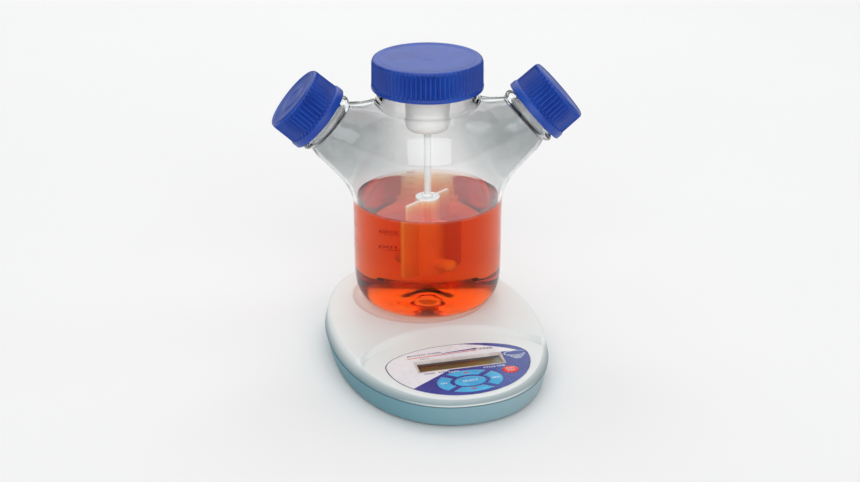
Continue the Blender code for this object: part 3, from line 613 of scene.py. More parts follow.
def lower_housing():
    made = Build()
    levels = [(5.0, 1.5), (4.5, 1.62), (4.0, 2.1), (3.55, 2.8), (3.2, 3.6), (1.6, 10.4), (0.25, 16.2),
              (0.1, 17.0), (0.4, SEAM_LOW), (2.6, SEAM_LOW), (2.8, 17.0), (4.2, 10.4), (5.7, 4.6),
              (6.2, 4.2)]
    rings = [made.add(np.column_stack([base_ring(d), np.full(240, z)])) for d, z in levels]
    for low, high in zip(rings, rings[1:]):
        made.strip(low, high)
    seats = [ellipse(x, y, 7.4, 7.4, count=32) for x, y in FEET]
    bores = [ellipse(x, y, 3.6, 3.6, count=24) for x, y in SCREWS]
    slots = [rectangle(BASE_X + 24 + 7 * i, 40, 2.6, 26, 1.2) for i in range(5)]
    outer = [tuple(p) for p in base_ring(5.0)]
    plan, faces, loops = tiled(outer, seats + bores + slots)
    join = dict(zip(loops[0], rings[0]))
    low = made.add(np.column_stack([plan, np.full(len(plan), 1.5)]))
    low = [join.get(i, j) for i, j in enumerate(low)]
    made.fill([[low[i] for i in f] for f in faces])
    inner = [tuple(p) for p in base_ring(6.2)]
    plan_in, faces_in, loops_in = tiled(inner, bores + slots)
    join = dict(zip(loops_in[0], rings[-1]))
    high = made.add(np.column_stack([plan_in, np.full(len(plan_in), 4.2)]))
    high = [join.get(i, j) for i, j in enumerate(high)]
    made.fill([[high[i] for i in f] for f in faces_in])
    for seat, loop in zip(seats, loops[1:5]):
        roof = made.add([(x, y, 2.4) for x, y in seat])
        made.strip([low[i] for i in loop], roof)
        made.fill([roof])
    for loop, loop_in in zip(loops[5:], loops_in[1:]):
        made.strip([low[i] for i in loop], [high[i] for i in loop_in])
    return made


def cut_round(target, place, radius, reach):
    """Cuts a round hole along a frame's Z with one exact Boolean."""
    points, faces = turned_points([(0, -reach), (radius, -reach), (radius, reach), (0, reach)], 32)
    mesh = bpy.data.meshes.new("cutter")
    mesh.from_pydata([tuple(MM * (place @ Vector(p))) for p in points], [], faces)
    face_outward(mesh)
    tool = bpy.data.objects.new("cutter", mesh)
    bpy.context.scene.collection.objects.link(tool)
    step = target.modifiers.new("hole", "BOOLEAN")
    step.operation, step.solver, step.object = "DIFFERENCE", "EXACT", tool
    graph = bpy.context.evaluated_depsgraph_get()
    result = bpy.data.meshes.new_from_object(target.evaluated_get(graph))
    target.modifiers.clear()
    target.data = result
    bpy.data.objects.remove(tool)


shell = upper_housing()
piece("deck_shell", shell.points, shell.faces, HOUSING, "base", ["upper_housing"], crease=40)
shell = lower_housing()
tray = piece("base_tray", shell.points, shell.faces, LOWER, "base", ["lower_housing"],
             crease=40)
cut_round(tray, at(BASE_X, BASE_HALF_Y, 10.0, Matrix.Rotation(-math.pi / 2, 4, "X")), 4.6, 12)

for i, (x, y) in enumerate(FEET, 1):
    profile = fillet([(0, 0.0), (6.4, 0.0), (7.0, 0.7), (7.0, 2.1), (0, 2.1)], 0.5, 3, keep=(0, 4))
    ringed = [(0, 0.35), (3.2, 0.35), (3.4, 0.0)] + profile[1:]
    turned(f"foot_pad_{i}", ringed, RUBBER, "base", [f"rubber_foot_{i}"], at(x, y, 0), 48)

# ---------------------------------------------------------------- control panel


def sheet_polygon(points):
    return [(x - PANEL_X, y - PANEL_Y) for x, y in points]


BLUE_FIELD = sheet_polygon([(-66.0, -103.6), (-44.2, -90.4), (-15.5, -73.0), (-12.0, -70.4), (27.4, -70.4),
                            (27.9, -56.6), (34.0, -56.9), (40.3, -57.5), (44.6, -58.5), (47.2, -59.8),
                            (48.6, -61.4), (64.0, -66.0), (64.0, -118.0), (-66.0, -118.0)])
BLUE_BAND = sheet_polygon([(-4.0, -38.8), (4.9, -40.6), (14.9, -43.8), (25.3, -48.2), (33.6, -52.4),
                           (38.6, -55.6), (42.0, -58.8), (43.6, -61.6), (64.0, -66.0), (64.0, -30.0),
                           (-4.0, -30.0)])
BLUE_STRIPE = sheet_polygon([(-14.6, -49.9), (11.4, -48.9), (11.4, -47.2), (-14.6, -49.2)])
RED_STRIPE = sheet_polygon([(-40.8, -52.5), (11.4, -50.6), (11.4, -49.7), (-40.8, -51.7)])


def panel_sheet():
    made = Build()
    outline = ellipse(0, 0, SHEET_A, SHEET_BACK, SHEET_FRONT, 160)
    border = ellipse(0, 0, SHEET_A - 0.55, SHEET_BACK - 0.45, SHEET_FRONT - 0.6, 160)
    holes = [rectangle(LCD_U, LCD_V, LCD_W + 0.6, LCD_H + 0.6, 0.8)] + list(key_outlines(0.3).values())
    art = [BLUE_FIELD, BLUE_BAND, BLUE_STRIPE, RED_STRIPE]
    spots, faces, loops = tiled(outline, holes, lines=[border] + art)
    middle = spots[faces].mean(1)
    ink = np.zeros(len(faces), int)
    for polygon, value in ((BLUE_FIELD, 1), (BLUE_BAND, 1), (BLUE_STRIPE, 1), (RED_STRIPE, 2)):
        ink[inside(middle, polygon)] = value
    ink[~inside(middle, border) & (ink == 0)] = 3
    keep = inside(middle, outline)
    top = made.add(on_panel(spots, SHEET_TOP))
    low = made.add(on_panel(spots, SHEET_LOW))
    for value in range(4):
        chosen = faces[(ink == value) & keep]
        made.fill([[top[i] for i in f] for f in chosen], value)
    made.fill([[low[i] for i in f] for f in faces[keep]])
    for loop in loops[:1 + len(holes)]:
        made.strip([low[i] for i in loop], [top[i] for i in loop])
    return made


sheet = panel_sheet()
piece("graphic_sheet", sheet.points, sheet.faces, [WHITE_INK, BLUE_INK, RED_INK, DARK_INK], "base",
      ["panel_overlay"], marks=sheet.marks)


def word_shape(text, size, align, weight):
    """Flat points and cells of one word."""
    curve = bpy.data.curves.new("word", "FONT")
    curve.body, curve.size, curve.align_x, curve.align_y = text, size, align, "CENTER"
    curve.resolution_u, curve.offset = 3, weight * size
    word = bpy.data.objects.new("word", curve)
    bpy.context.scene.collection.objects.link(word)
    mesh = bpy.data.meshes.new_from_object(word.evaluated_get(bpy.context.evaluated_depsgraph_get()))
    points, cells = [tuple(p.co.xy) for p in mesh.vertices], [list(f.vertices) for f in mesh.polygons]
    bpy.data.objects.remove(word)
    bpy.data.curves.remove(curve)
    return points, cells


def slab_faces(cells, high, low):
    """Both sides and the rim of a thin slab, given where the points of its two sides start."""
    faces, edges = [], {}
    for cell in cells:
        faces += [[high + i for i in cell], [low + i for i in cell[::-1]]]
        edges.update(dict.fromkeys(zip(cell, cell[1:] + cell[:1])))
    return faces + [[high + b, high + a, low + a, low + b] for a, b in edges if (b, a) not in edges]


def lettering(name, rows, look, body="base", lift=SHEET_TOP + 0.01):
    """Printed words and marks: (text, u, v, height, turn in degrees, align, stretch), or outlines."""
    points, faces = [], []
    for row in rows:
        if isinstance(row[0], str):
            text, u, v, size, turn, align, stretch = row
            flat, cells = word_shape(text, size, align, 0.012)
            spin = Matrix.Rotation(math.radians(turn), 2)
            flat = [tuple(Vector((u, v)) + spin @ Vector((x * stretch, y))) for x, y in flat]
        else:
            flat, cells = list(row), [list(range(len(row)))]
        start = len(points)
        points += on_panel(flat, lift + 0.02) + on_panel(flat, lift)
        faces += slab_faces(cells, start, start + len(flat))
    return piece(name, points, faces, look, body, crease=30)


def swirl(u, v, a, b, wide, first, last, count=28):
    """A tapered arc: one stroke of the stirring mark."""
    outer, inner = [], []
    for i in range(count + 1):
        share = i / count
        turn = math.radians(first + (last - first) * share)
        half = wide * (0.25 + 0.75 * math.sin(math.pi * share))
        outer.append((u + (a + half) * math.cos(turn), v + (b + half) * math.sin(turn)))
        inner.append((u + (a - half) * math.cos(turn), v + (b - half) * math.sin(turn)))
    return outer + inner[::-1]


lettering("sheet_words_dark", [
    ("MAGNETIC STIRRER", -34.4, 13.0, 2.6, 2.1, "LEFT", 1.12),
    ("STIRRER", 22.4, 12.6, 3.6, -4.0, "CENTER", 1.15),
    ("SPEED   RPM", -20.0, -12.6, 2.3, 0.0, "CENTER", 1.25),
    ("DISPLAY", -22.5, 7.6, 1.7, 1.0, "CENTER", 1.2)], DARK_INK)
lettering("sheet_words_light", [
    ("TIMER", -6.4, -14.0, 2.5, 0.0, "CENTER", 1.25),
    ("CYCLE TIME", 23.6, -13.2, 2.5, 0.0, "CENTER", 1.2),
    swirl(43.6, 1.8, 8.2, 3.0, 0.32, 20, 330), swirl(43.8, -0.4, 6.4, 2.4, 0.3, 170, 400),
    swirl(44.0, -2.6, 4.6, 1.8, 0.28, 150, 380), swirl(44.2, -4.6, 2.8, 1.2, 0.25, 140, 380)],
          KEY_INK)

KEY_TOP, KEY_FOOT, KEY_FLANGE = 0.45, -3.7, -2.9
KEY_LEVELS = [(0.8, KEY_FOOT), (0.8, KEY_FLANGE), (0.0, KEY_FLANGE), (0.0, KEY_TOP - 0.32),
              (-0.1, KEY_TOP - 0.16), (-0.3, KEY_TOP - 0.06), (-0.65, KEY_TOP - 0.01), (-1.2, KEY_TOP)]
OVAL_KEYS = ("key_select", "key_start")
for name in key_outlines():
    rings = []
    for grow, n in KEY_LEVELS:
        outline = key_outlines(grow)[name]
        rings.append(on_panel(outline if name in OVAL_KEYS else fillet(outline, 0.9, 3), n))
    look, slot = (KEY_RED, "key_red") if name == "key_start" else (KEY, "key_blue")
    loft("cap_of_" + name, rings, look, name, [name], crease=50)

KEY_FACE = KEY_TOP + 0.005
for name, rows, look in (
        ("key_left", [("ON", -17.6, -28.0, 2.7, 0, "CENTER", 1.1)], KEY_INK),
        ("key_right", [("NEXT", 20.7, -28.0, 2.5, 0, "CENTER", 1.05)], KEY_INK),
        ("key_select", [("SELECT", 1.6, -28.2, 3.0, 0, "CENTER", 1.15)], KEY_INK),
        ("key_up", [[(-1.0, -18.2), (3.4, -18.2), (1.2, -16.2)]], MARK_RED),
        ("key_down", [[(-1.0, -37.9), (3.4, -37.9), (1.2, -39.9)]], MARK_RED),
        ("key_start", [("START", 33.8, -18.3, 2.1, 0, "CENTER", 1.1),
                       ("STOP", 33.8, -20.9, 2.1, 0, "CENTER", 1.1)], KEY_INK)):
    slot = "key_red" if name == "key_start" else "key_blue"
    lettering("mark_on_" + name, rows, look, name, KEY_FACE)

w, h = LCD_W, LCD_H
levels = [(0.0, -2.6), (0.0, 0.16), (0.25, 0.25), (0.8, 0.25), (1.05, 0.12), (1.55, -1.3), (1.6, -1.45),
          (1.6, -2.6)]
rings = [on_panel(rectangle(LCD_U, LCD_V, w - 2 * d, h - 1.82 * d, 0.8, 3), n) for d, n in levels]
loft("bezel_frame", rings, BEZEL, "base", ["lcd_bezel"], crease=28, closed=True)
window = [on_panel(rectangle(LCD_U, LCD_V, w - 3.5, h - 3.2, 0.4, 2), n) for n in (-3.9, -1.7)]
loft("display_pane", window, LCD, "base", ["lcd_glass"])

# ---------------------------------------------------------------- flask


def profile_table(outline, r_max, low, high, step=0.5):
    """Signed distance to a closed outline of revolution, sampled over radius and height."""
    r = np.arange(0, r_max + step, step)
    z = np.arange(low, high + step, step)
    grid_r, grid_z = np.meshgrid(r, z, indexing="ij")
    flat = np.column_stack([grid_r.ravel(), grid_z.ravel()])
    least = np.full(len(flat), 1e9)
    for a, b in zip(outline, outline[1:]):
        a, b = np.array(a), np.array(b)
        if a[0] < 1e-6 and b[0] < 1e-6:
            continue
        run = b - a
        share = np.clip(((flat - a) @ run) / (run @ run), 0, 1)
        least = np.minimum(least, ((flat - a - share[:, None] * run) ** 2).sum(1))
    sign = np.where(inside(flat + (1e-7, 1e-7), outline), -1.0, 1.0)
    return (np.sqrt(least) * sign).reshape(grid_r.shape), low, step


def look_up(table, r, z):
    values, low, step = table
    a = np.clip(r / step, 0, values.shape[0] - 1.001)
    b = np.clip((z - low) / step, 0, values.shape[1] - 1.001)
    i, j = a.astype(int), b.astype(int)
    a, b = a - i, b - j
    return ((1 - a) * (1 - b) * values[i, j] + a * (1 - b) * values[i + 1, j]
            + (1 - a) * b * values[i, j + 1] + a * b * values[i + 1, j + 1])


def dome(radius, height, steps=24, last=50.0):
    power = 2.3
    turns = [math.radians(last * i / steps) for i in range(steps + 1)]
    return [(radius * math.cos(t) ** (2 / power), 140.0 + height * math.sin(t) ** (2 / power))
            for t in turns]


OUTER = smooth_path([(0, 36.6), (4, 36.0), (7.6, 33.6), (11.4, 30.6), (16, 28.9), (25, 28.35), (40, 28.25),
                     (45.5, 29.2), (50.0, 32.0), (53.6, 37.0), (55.7, 45), (56.5, 60)], 5)
OUTER += dome(BODY_R, 56.0, 26, 49.0)
OUTER += smooth_path([(37.5, 184.6), (36.7, 186.8), (NECK_R, 189.5)], 4)
OUTER += [(NECK_R, 200.6), (37.4, 201.4), (38.2, 202.2), (38.2, 204.8), (37.4, 205.6), (NECK_R, 206.4),
          (NECK_R + 0.2, 213.6), (NECK_R - 0.6, NECK_TOP), (0, NECK_TOP), (0, 36.6)]
INNER_FOOT = smooth_path([(0, 41.6), (3.2, 41.1), (6.2, 39.2), (8.3, 36.6), (11.5, 34.4), (19, 32.3),
                          (30, 31.6), (41.0, 31.9), (47.0, 34.6), (51.2, 39.8), (53.2, 47), (54.0, 62)], 5)
INNER = INNER_FOOT + dome(BODY_R - GLASS, 53.5, 26, 49.0)
INNER += smooth_path([(35.2, 182.6), (34.3, 184.8), (NECK_R - GLASS, 187.5)], 4)
INNER += [(NECK_R - GLASS, 245.0), (0, 245.0), (0, 41.6)]
ARM_OUT = [(0, -70), (29.0, -70)] + smooth_path([(27.9, -58), (25.4, -40), (23.7, -25), (23.0, -16),
                                                 (21.6, -11), (20.7, -8.6)], 5)
ARM_OUT += smooth_path([(21.0, -7.6), (22.6, -6.9), (23.8, -5.6), (24.1, -4.4), (23.6, -3.0), (22.2, -1.6),
                        (20.9, -0.9)], 4)
ARM_OUT += [(20.8, 4), (20.8, 8), (22.2, 9.2), (22.2, 10.6), (20.8, 11.8), (20.8, 14), (22.1, 15.2),
            (22.1, 16.6), (20.8, 17.8), (20.8, ARM_RIM - 0.8), (20.2, ARM_RIM), (0, ARM_RIM), (0, -70)]
ARM_IN = [(0, -70), (26.5, -70)] + smooth_path([(25.4, -58), (22.9, -40), (21.2, -25), (20.5, -16),
                                                (19.1, -10), (18.2, -5)], 5)
ARM_IN += [(18.2, 50), (0, 50), (0, -70)]
TABLES = [profile_table(outline, 120, low, high) for outline, low, high in
          ((OUTER, 15, 240), (INNER, 15, 260), (ARM_OUT, -150, 60), (ARM_IN, -150, 80))]


def flask_field(points):
    """Signed distance to the blown shell: the body and both arms blended, less the same for the inside."""
    x, y, z = points.T
    rise = np.clip((z - 122.0) / 50.0, 0, 1)
    width = 9.0 + 19.0 * rise * rise * (3 - 2 * rise)
    r = np.hypot(x, y)
    c, s = math.cos(ARM_RISE), math.sin(ARM_RISE)
    fields = []
    for body, arm in ((TABLES[0], TABLES[2]), (TABLES[1], TABLES[3])):
        whole = look_up(body, r, z)
        for side in (1, -1):
            u, v = side * x - ARM_REACH, z - ARM_Z
            along = u * c + v * s
            across = np.hypot(-u * s + v * c, y)
            limb = look_up(arm, across, along)
            whole = soft_least(whole, limb, width)
        fields.append(whole)
    outer, inner = fields
    return -soft_least(-outer, inner, 0.8)


def surface_net(field, low, step, shape):
    """Quads on the zero surface of a field sampled on a grid, with points eased onto the field itself."""
    axes = [low[i] + step * np.arange(shape[i]) for i in range(3)]
    grid = np.stack(np.meshgrid(*axes, indexing="ij"), -1).reshape(-1, 3)
    values = np.concatenate([field(part) for part in np.array_split(grid, 24)]).reshape(shape)
    solid = values < 0
    cells = np.zeros([n - 1 for n in shape], np.int8)
    corners = [(i, j, k) for i in (0, 1) for j in (0, 1) for k in (0, 1)]
    for i, j, k in corners:
        cells += solid[i:shape[0] - 1 + i, j:shape[1] - 1 + j, k:shape[2] - 1 + k]
    active = np.argwhere((cells > 0) & (cells < 8))
    number = np.full(cells.shape, -1, np.int64)
    number[tuple(active.T)] = np.arange(len(active))
    total, hits = np.zeros((len(active), 3)), np.zeros(len(active))
    for a in range(8):
        for b in range(a + 1, 8):
            ca, cb = np.array(corners[a]), np.array(corners[b])
            if np.abs(ca - cb).sum() != 1:
                continue
            va, vb = values[tuple((active + ca).T)], values[tuple((active + cb).T)]
            crossing = (va < 0) != (vb < 0)
            share = np.where(crossing, va / np.where(va == vb, 1, va - vb), 0)
            total += np.where(crossing[:, None], active + ca + share[:, None] * (cb - ca), 0)
            hits += crossing
    points = np.array(low) + step * total / hits[:, None]
    quads = []
    for axis in range(3):
        ahead = np.roll(solid, -1, axis)
        cut = [slice(1, n - 1) for n in shape]
        change = np.argwhere((solid != ahead)[tuple(cut)]) + 1
        flip = solid[tuple(change.T)]
        b, c = np.eye(3, dtype=int)[(axis + 1) % 3], np.eye(3, dtype=int)[(axis + 2) % 3]
        quad = np.stack([number[tuple((change - o).T)] for o in (0 * b, b, b + c, c)], 1)
        quad[~flip] = quad[~flip][:, ::-1]
        quads.append(quad)
    quads = np.concatenate(quads)
    quads = quads[(quads >= 0).all(1)]
    links = np.concatenate([quads[:, [0, 1]], quads[:, [1, 2]], quads[:, [2, 3]], quads[:, [3, 0]]])
    for turn in range(5):
        if turn < 4:
            total, hits = np.zeros_like(points), np.zeros(len(points))
            np.add.at(total, links[:, 0], points[links[:, 1]])
            np.add.at(hits, links[:, 0], 1)
            points = points + 0.5 * (total / np.maximum(hits, 1)[:, None] - points)
        for _ in range(3):
            value = field(points)
            slope = np.stack([field(points + e) - field(points - e) for e in 0.2 * np.eye(3)], 1) / 0.4
            size = np.maximum((slope ** 2).sum(1), 0.15)
            points = points - np.clip(value / size, -1, 1)[:, None] * slope
    return points, quads


STEP = 1.15
points, quads = surface_net(flask_field, (-114.0, -60.0, 24.0), STEP, (200, 106, 169))
middle = points[quads].mean(1)
reach = np.hypot(middle[:, 0], middle[:, 1])
wetted = ((np.abs(look_up(TABLES[1], reach, middle[:, 2])) < np.abs(look_up(TABLES[0], reach, middle[:, 2])))
          & (middle[:, 2] < 110.2))
marks = np.where(wetted, 1, np.where(middle[:, 2] < 110.2, 2, 0))
piece("blown_flask", points, quads, [DRY_GLASS, WET_GLASS, LOW_GLASS], "flask", ["flask_glass"],
      FLASK, crease=60, marks=marks)

OVERLAP = 0.3
bottom = [(r, z - OVERLAP) if r < 40 else (r + 0.7 * OVERLAP, z - 0.7 * OVERLAP) for r, z in INNER_FOOT]
bottom = [(0.0, bottom[0][1])] + bottom[1:-1] + [(54.0 + OVERLAP, 62.0)]
meniscus = [(54.0 + OVERLAP, 110.9), (53.8, 110.85), (53.2, 110.35), (52.4, 109.95), (51.2, 109.68),
            (49.5, 109.55), (46.0, LIQUID_TOP), (30.0, LIQUID_TOP), (12.0, LIQUID_TOP), (0.0, LIQUID_TOP)]
turned("medium_fill", bottom + meniscus, MEDIUM, "flask", ["culture_medium"], FLASK, 160,
       crease=60)


def wrapped(name, rows, radius, look, body, place):
    """Words and ticks laid round the flask's wall: (text or None, turn, height, size, width)."""
    points, faces = [], []
    for text, turn, z, size, width in rows:
        if text:
            flat, cells = word_shape(text, size, "CENTER", 0.02)
            flat = [(x * width, y) for x, y in flat]
        else:
            steps = [width * (i / 6 - 0.5) for i in range(7)]
            flat = [(x, 0.0) for x in steps] + [(x, size) for x in steps]
            cells = [[i, i + 1, i + 8, i + 7] for i in range(6)]
        start = len(points)
        for r in (radius + 0.12, radius):
            points += [(r * math.cos(turn + x / radius), r * math.sin(turn + x / radius), z + y)
                       for x, y in flat]
        faces += slab_faces(cells, start, start + len(flat))
    return piece(name, points, faces, look, body, place=place, crease=30)


MARK_TURN, MARK_LOW, MARK_PITCH = math.radians(90), 41.2, 12.65
rows = []
for n in range(1, 6):
    z = MARK_LOW + MARK_PITCH * n
    rows.append((f"{n}00", MARK_TURN, z + 2.6, 3.6, 1.3))
    rows.append((None, MARK_TURN - 0.03, z, 0.55, 7.0))
wrapped("volume_marks", rows, BODY_R - 0.02, ENAMEL, "flask", at(0, FLASK_Y, 0))

# ---------------------------------------------------------------- caps


RIB_POINTS, RIB_SHARP = 8, 4.5


def make_cap(name, levels, crown, hollow, ribs, place, body, replaced):
    """levels hold (radius, flute depth, height), from the open end up; crown and hollow (radius, height)."""
    count = ribs * RIB_POINTS
    turns = 2 * np.pi * np.arange(count) / count
    flute = 1 - np.abs(np.cos(ribs * turns / 2)) ** RIB_SHARP
    made = Build()

    def ring(radius, z):
        return made.add(np.column_stack([radius * np.cos(turns), radius * np.sin(turns), np.full(count, z)]))

    outer = [ring(radius - depth * flute, z) for radius, depth, z in levels] + [ring(*row) for row in crown]
    inner = [outer[0]] + [ring(*row) for row in hollow]
    for chain, top in ((outer, crown[-1][1]), (inner, hollow[-1][1])):
        for low, high in zip(chain, chain[1:]):
            made.strip(low, high)
        centre, last = made.add([(0, 0, top)])[0], chain[-1]
        made.fill([(last[i], last[(i + 1) % count], centre) for i in range(count)])
    return piece(name, made.points, made.faces, CAP, body, replaced, place, crease=48)


low, high, r = 196.75, 219.5, 41.5
levels = [(r + 0.1, 0, low), (r + 0.25, 0, low + 0.3), (r + 0.3, 0, low + 0.9), (r + 0.3, 0, low + 1.9),
          (r + 0.2, 0.0, low + 2.35), (r + 0.1, 0.2, low + 2.7), (r, 1.1, low + 3.1), (r, 1.8, low + 3.8),
          (r, 2.1, low + 5.0), (r - 0.15, 2.1, high - 4.2), (r - 0.2, 1.9, high - 3.2),
          (r - 0.3, 1.3, high - 2.4), (r - 0.5, 0.55, high - 1.7), (r - 0.85, 0.12, high - 1.1),
          (r - 1.35, 0, high - 0.6), (r - 2.0, 0, high - 0.25), (r - 2.8, 0, high - 0.06)]
crown = [(r - 3.6, high - 0.0), (r - 4.4, high - 0.04), (36.2, high - 0.2), (35.6, high - 0.45),
         (34.8, high - 0.6), (30, high - 0.62), (20, high - 0.66), (12, high - 0.74), (6, high - 0.9),
         (3.4, high - 1.05), (2.8, high - 0.85), (2.0, high - 0.8), (1.0, high - 0.8)]
thread = []
for turn in range(3):
    z = low + 4.5 + 4.2 * turn
    thread += [(38.9, z), (38.5, z + 0.7), (38.5, z + 1.4), (38.9, z + 2.1)]
hollow = [(39.4, low), (38.9, low + 0.5), *thread, (38.9, high - 3.4), (38.4, high - 2.8), (37.5, high - 2.7),
          (18.0, high - 2.7), (1.0, high - 2.7)]
make_cap("centre_screw_cap", levels, crown, hollow, 72, FLASK, "centre_closure", ["centre_cap"])

for side, word in ((-1, "left"), (1, "right")):
    top, skirt, r = 26.4, 26.94, 26.0
    levels = [(skirt - 0.35, 0, 0.0), (skirt - 0.08, 0, 0.3), (skirt, 0, 0.8), (skirt - 0.03, 0, 4.4),
              (skirt - 0.15, 0, 5.0), (skirt - 0.4, 0.0, 5.5), (r + 0.3, 0.15, 5.9), (r + 0.1, 0.7, 6.3),
              (r + 0.02, 1.6, 6.9), (r, 2.1, 7.8), (r - 0.1, 2.3, 12), (r - 0.2, 2.3, top - 5.0),
              (r - 0.24, 2.0, top - 3.6), (r - 0.3, 1.4, top - 2.7), (r - 0.42, 0.55, top - 2.0),
              (r - 0.65, 0.1, top - 1.4), (r - 1.05, 0, top - 0.8), (r - 1.6, 0, top - 0.35),
              (r - 2.2, 0, top - 0.1)]
    crown = [(r - 2.9, top), (r - 3.6, top - 0.05), (21.9, top - 0.3), (21.3, top - 0.5), (15, top - 0.55),
             (9.6, top - 0.55), (9.3, top - 0.35), (8.7, top - 0.35), (8.4, top - 0.55), (4, top - 0.6),
             (1.0, top - 0.6)]
    hollow = [(23.3, 0.0), (22.9, 0.5), (22.9, 6.0), (22.4, 6.8), (22.4, 7.6), (22.9, 8.4), (22.9, 12.0),
              (22.4, 12.8), (22.4, 13.6), (22.9, 14.4), (22.9, 23.4), (22.2, 24.3), (12, 24.5), (1.0, 24.5)]
    make_cap(f"{word}_screw_cap", levels, crown, hollow, 44, arm_frame(side), f"{word}_cap", [f"{word}_cap"])

# ---------------------------------------------------------------- closure and impeller

plug = [(3.4, 163.5), (11.5, 163.5), (15.0, 164.8), (16.6, 168.0), (16.6, 186.0), (17.4, 187.2), (17.4, 210.0),
        (33.0, 210.6), (33.0, 216.2), (7.4, 216.2), (7.4, 196.0), (3.4, 196.0)]
turned("adaptor_plug", fillet(plug, 1.2, 4), PTFE, "centre_closure", ["impeller_adaptor"], FLASK, 96,
       crease=45)


def washer(name, inner, outer, low, high, soft, look, body, node, place, segments=96):
    """A flat ring with softened edges, or a disc where inner is 0."""
    box = [(inner, low), (outer, low), (outer, high), (inner, high)]
    profile = fillet(box, soft, 3, keep=() if inner else (0, 3))
    turned(name, profile, look, body, [node], place, segments)


GAP = 0.3
rim = NECK_TOP + GAP
washer("neck_gasket", 34.2, 38.0, rim, rim + 1.4, 0.4, SEAL, "centre_closure", "centre_gasket", FLASK)
washer("bearing_ring", 3.1, 7.0, 196.3, 201.0, 0.4, STEEL, "centre_closure", "shaft_bearing", FLASK,
       64)
rim = ARM_RIM + GAP
for side, word in ((-1, "left"), (1, "right")):
    washer(f"{word}_liner_disc", 0, 21.6, rim, rim + 1.3, 0.35, SEAL, f"{word}_liner", f"{word}_seal",
           arm_frame(side))

HUB_R, HUB_TOP, HUB_LOW = 9.3, 110.4, 54.0
hub = [(0, HUB_LOW), (HUB_R, HUB_LOW), (HUB_R, HUB_TOP), (3.05, HUB_TOP), (3.05, 90), (0, 90)]
hub = fillet(hub, 0.7, 4, keep=(0, 4, 5))
turned("paddle_hub", hub, PTFE, "impeller", ["paddle"], IMPELLER, 96, crease=45)
half, blade_low, blade_top, thick = 24.5, 53.2, 109.0, 2.8
corners = [(-half, blade_low), (half, blade_low), (half, blade_top), (-half, blade_top)]
plan = []
for (x, z), radius, start in zip(corners, (4.2, 4.2, 2.2, 2.2), (math.pi, -math.pi / 2, 0.0, math.pi / 2)):
    cx, cz = x - math.copysign(radius, x), z + (radius if z == blade_low else -radius)
    for k in range(6):
        turn = start + k / 5 * math.pi / 2
        plan.append((cx + radius * math.cos(turn), cz + radius * math.sin(turn)))
upright = IMPELLER @ Matrix.Rotation(math.pi / 2, 4, "X")


def shrunk(points, by):
    middle = np.array([0.0, (blade_low + blade_top) / 2])
    p = np.array(points)
    sizes = np.array([half, (blade_top - blade_low) / 2])
    return [tuple(q) for q in middle + (p - middle) * (sizes - by) / sizes]


levels = [(0.8, -thick / 2), (0.25, -thick / 2 + 0.2), (0.0, -thick / 2 + 0.75), (0.0, thick / 2 - 0.75),
          (0.25, thick / 2 - 0.2), (0.8, thick / 2)]
rings = [[(x, z, n) for x, z in shrunk(plan, d)] for d, n in levels]
loft("paddle_blade", rings, PTFE, "impeller", (), upright, crease=50)
BAR_Z, BAR_R, BAR_HALF = 62.6, 4.7, 21.5
across = Matrix.Rotation(IMPELLER_TURN + math.pi / 2, 4, "Z") @ Matrix.Rotation(math.pi / 2, 4, "Y")
across = at(0, FLASK_Y, BAR_Z, across)
quarter = np.linspace(0, math.pi / 2, 9)
end = [(BAR_R * math.sin(a), -BAR_HALF + BAR_R - BAR_R * math.cos(a)) for a in quarter]
bar = [(max(0.0, x), z) for x, z in end]
turned("stir_rod", bar + [(x, -z) for x, z in bar[::-1]], PTFE, "impeller", ["stir_bar"], across, 48)
rod = fillet([(0, 90.3), (2.75, 90.3), (2.75, 206.0), (0, 206.0)], 0.8, 4, keep=(0, 3))
turned("glass_rod", rod, ROD_LOOK, "impeller", ["impeller_shaft"], IMPELLER, 48)
turned("rod_collar", fillet([(3.05, 110.7), (4.2, 110.7), (3.9, 112.9), (3.05, 112.9)], 0.3, 3), PTFE,
       "impeller", ["shaft_collar"], IMPELLER, 48)
washer("rod_clip", 3.05, 5.6, 201.3, 203.4, 0.35, STEEL, "impeller", "shaft_clip", IMPELLER, 48)

# ---------------------------------------------------------------- carried-over CAD nodes

slot_of = {row["node"]: row["material_slot"] for row in frame["record"]["subparts"]}
for name, node in nodes.items():
    look = CAD_LOOKS.get(slot_of.get(name), BLACK)
    node.data.materials.clear()
    node.data.materials.append(look.material)

# ---------------------------------------------------------------- studio

floor = bpy.data.meshes.new("floor")
floor.from_pydata([(-6, -6, 0), (6, -6, 0), (6, 6, 0), (-6, 6, 0)], [], [(0, 1, 2, 3)])
floor.materials.append(FLOOR.material)
ground = bpy.data.objects.new("floor", floor)
bpy.context.scene.collection.objects.link(ground)

CAMERA_TURN, CAMERA_RISE, CAMERA_RANGE = math.radians(-14.5), math.radians(23.45), 1232.5
target = Vector((1.87 * math.cos(CAMERA_TURN), FLASK_Y + 1.87 * math.sin(CAMERA_TURN), 72.5))
back = Vector((math.sin(CAMERA_TURN) * math.cos(CAMERA_RISE), -math.cos(CAMERA_TURN) * math.cos(CAMERA_RISE),
               math.sin(CAMERA_RISE)))
lens = bpy.data.cameras.new("camera")
lens.lens, lens.sensor_width, lens.sensor_fit, lens.clip_start = 66.98, 36.0, "HORIZONTAL", 0.01
camera = bpy.data.objects.new("camera", lens)
camera.location = MM * (target + CAMERA_RANGE * back)
camera.rotation_euler = (-back).to_track_quat("-Z", "Y").to_euler()
bpy.context.scene.collection.objects.link(camera)
bpy.context.scene.camera = camera


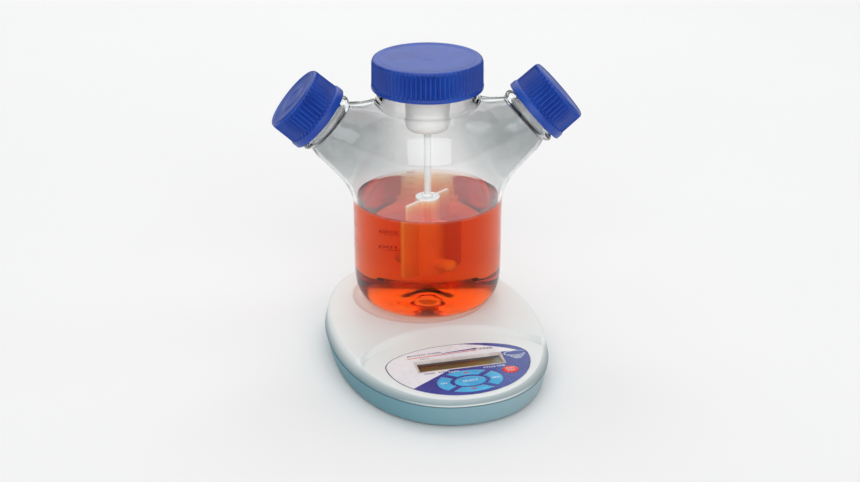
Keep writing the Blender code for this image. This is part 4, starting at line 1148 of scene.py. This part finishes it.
def softbox(name, spot, aim, size, power, tint=(1, 1, 1)):
    lamp = bpy.data.lights.new(name, "AREA")
    lamp.shape, lamp.size, lamp.size_y, lamp.energy, lamp.color = "RECTANGLE", size[0], size[1], power, tint
    made = bpy.data.objects.new(name, lamp)
    made.location = spot
    made.rotation_euler = (Vector(aim) - Vector(spot)).to_track_quat("-Z", "Y").to_euler()
    bpy.context.scene.collection.objects.link(made)


softbox("overhead", (0.0, 0.3, 2.2), (0, 0.05, 0), (2.6, 2.4), 18.5)
softbox("back_box", (0.3, 2.4, 1.9), (0, 0.05, 0.12), (5.0, 2.8), 56.0)
softbox("front_box", (-0.5, -2.5, 1.3), (0, 0.05, 0.12), (3.8, 2.4), 52.0)
softbox("side_box", (2.0, -0.2, 1.0), (0, 0.05, 0.12), (0.5, 1.4), 3.0, (0.95, 0.98, 1.0))

world = bpy.data.worlds.new("studio")
bpy.context.scene.world = world
world.use_nodes = True
tree = world.node_tree
coord = tree.nodes.new("ShaderNodeTexCoord")
split = tree.nodes.new("ShaderNodeSeparateXYZ")
tree.links.new(coord.outputs["Generated"], split.inputs[0])
ramp = tree.nodes.new("ShaderNodeValToRGB")
tree.links.new(split.outputs[2], ramp.inputs[0])
stops = [(0.0, (0.12, 0.135, 0.14)), (0.12, (0.16, 0.18, 0.185)), (0.3, (0.43, 0.45, 0.46)),
         (0.5, (0.8, 0.81, 0.815)), (1.0, (0.95, 0.95, 0.95))]
while len(ramp.color_ramp.elements) < len(stops):
    ramp.color_ramp.elements.new(0.5)
for element, (spot, color) in zip(ramp.color_ramp.elements, stops):
    element.position, element.color = spot, (*color, 1.0)
background = tree.nodes["Background"]
tree.links.new(ramp.outputs[0], background.inputs["Color"])
background.inputs["Strength"].default_value = 0.36

scene = bpy.context.scene
scene.view_settings.view_transform = "Standard"
scene.view_settings.look = "None"
scene.cycles.max_bounces = 20
scene.cycles.transmission_bounces = 20
scene.cycles.transparent_max_bounces = 24
scene.cycles.glossy_bounces = 6
scene.cycles.use_denoising = True
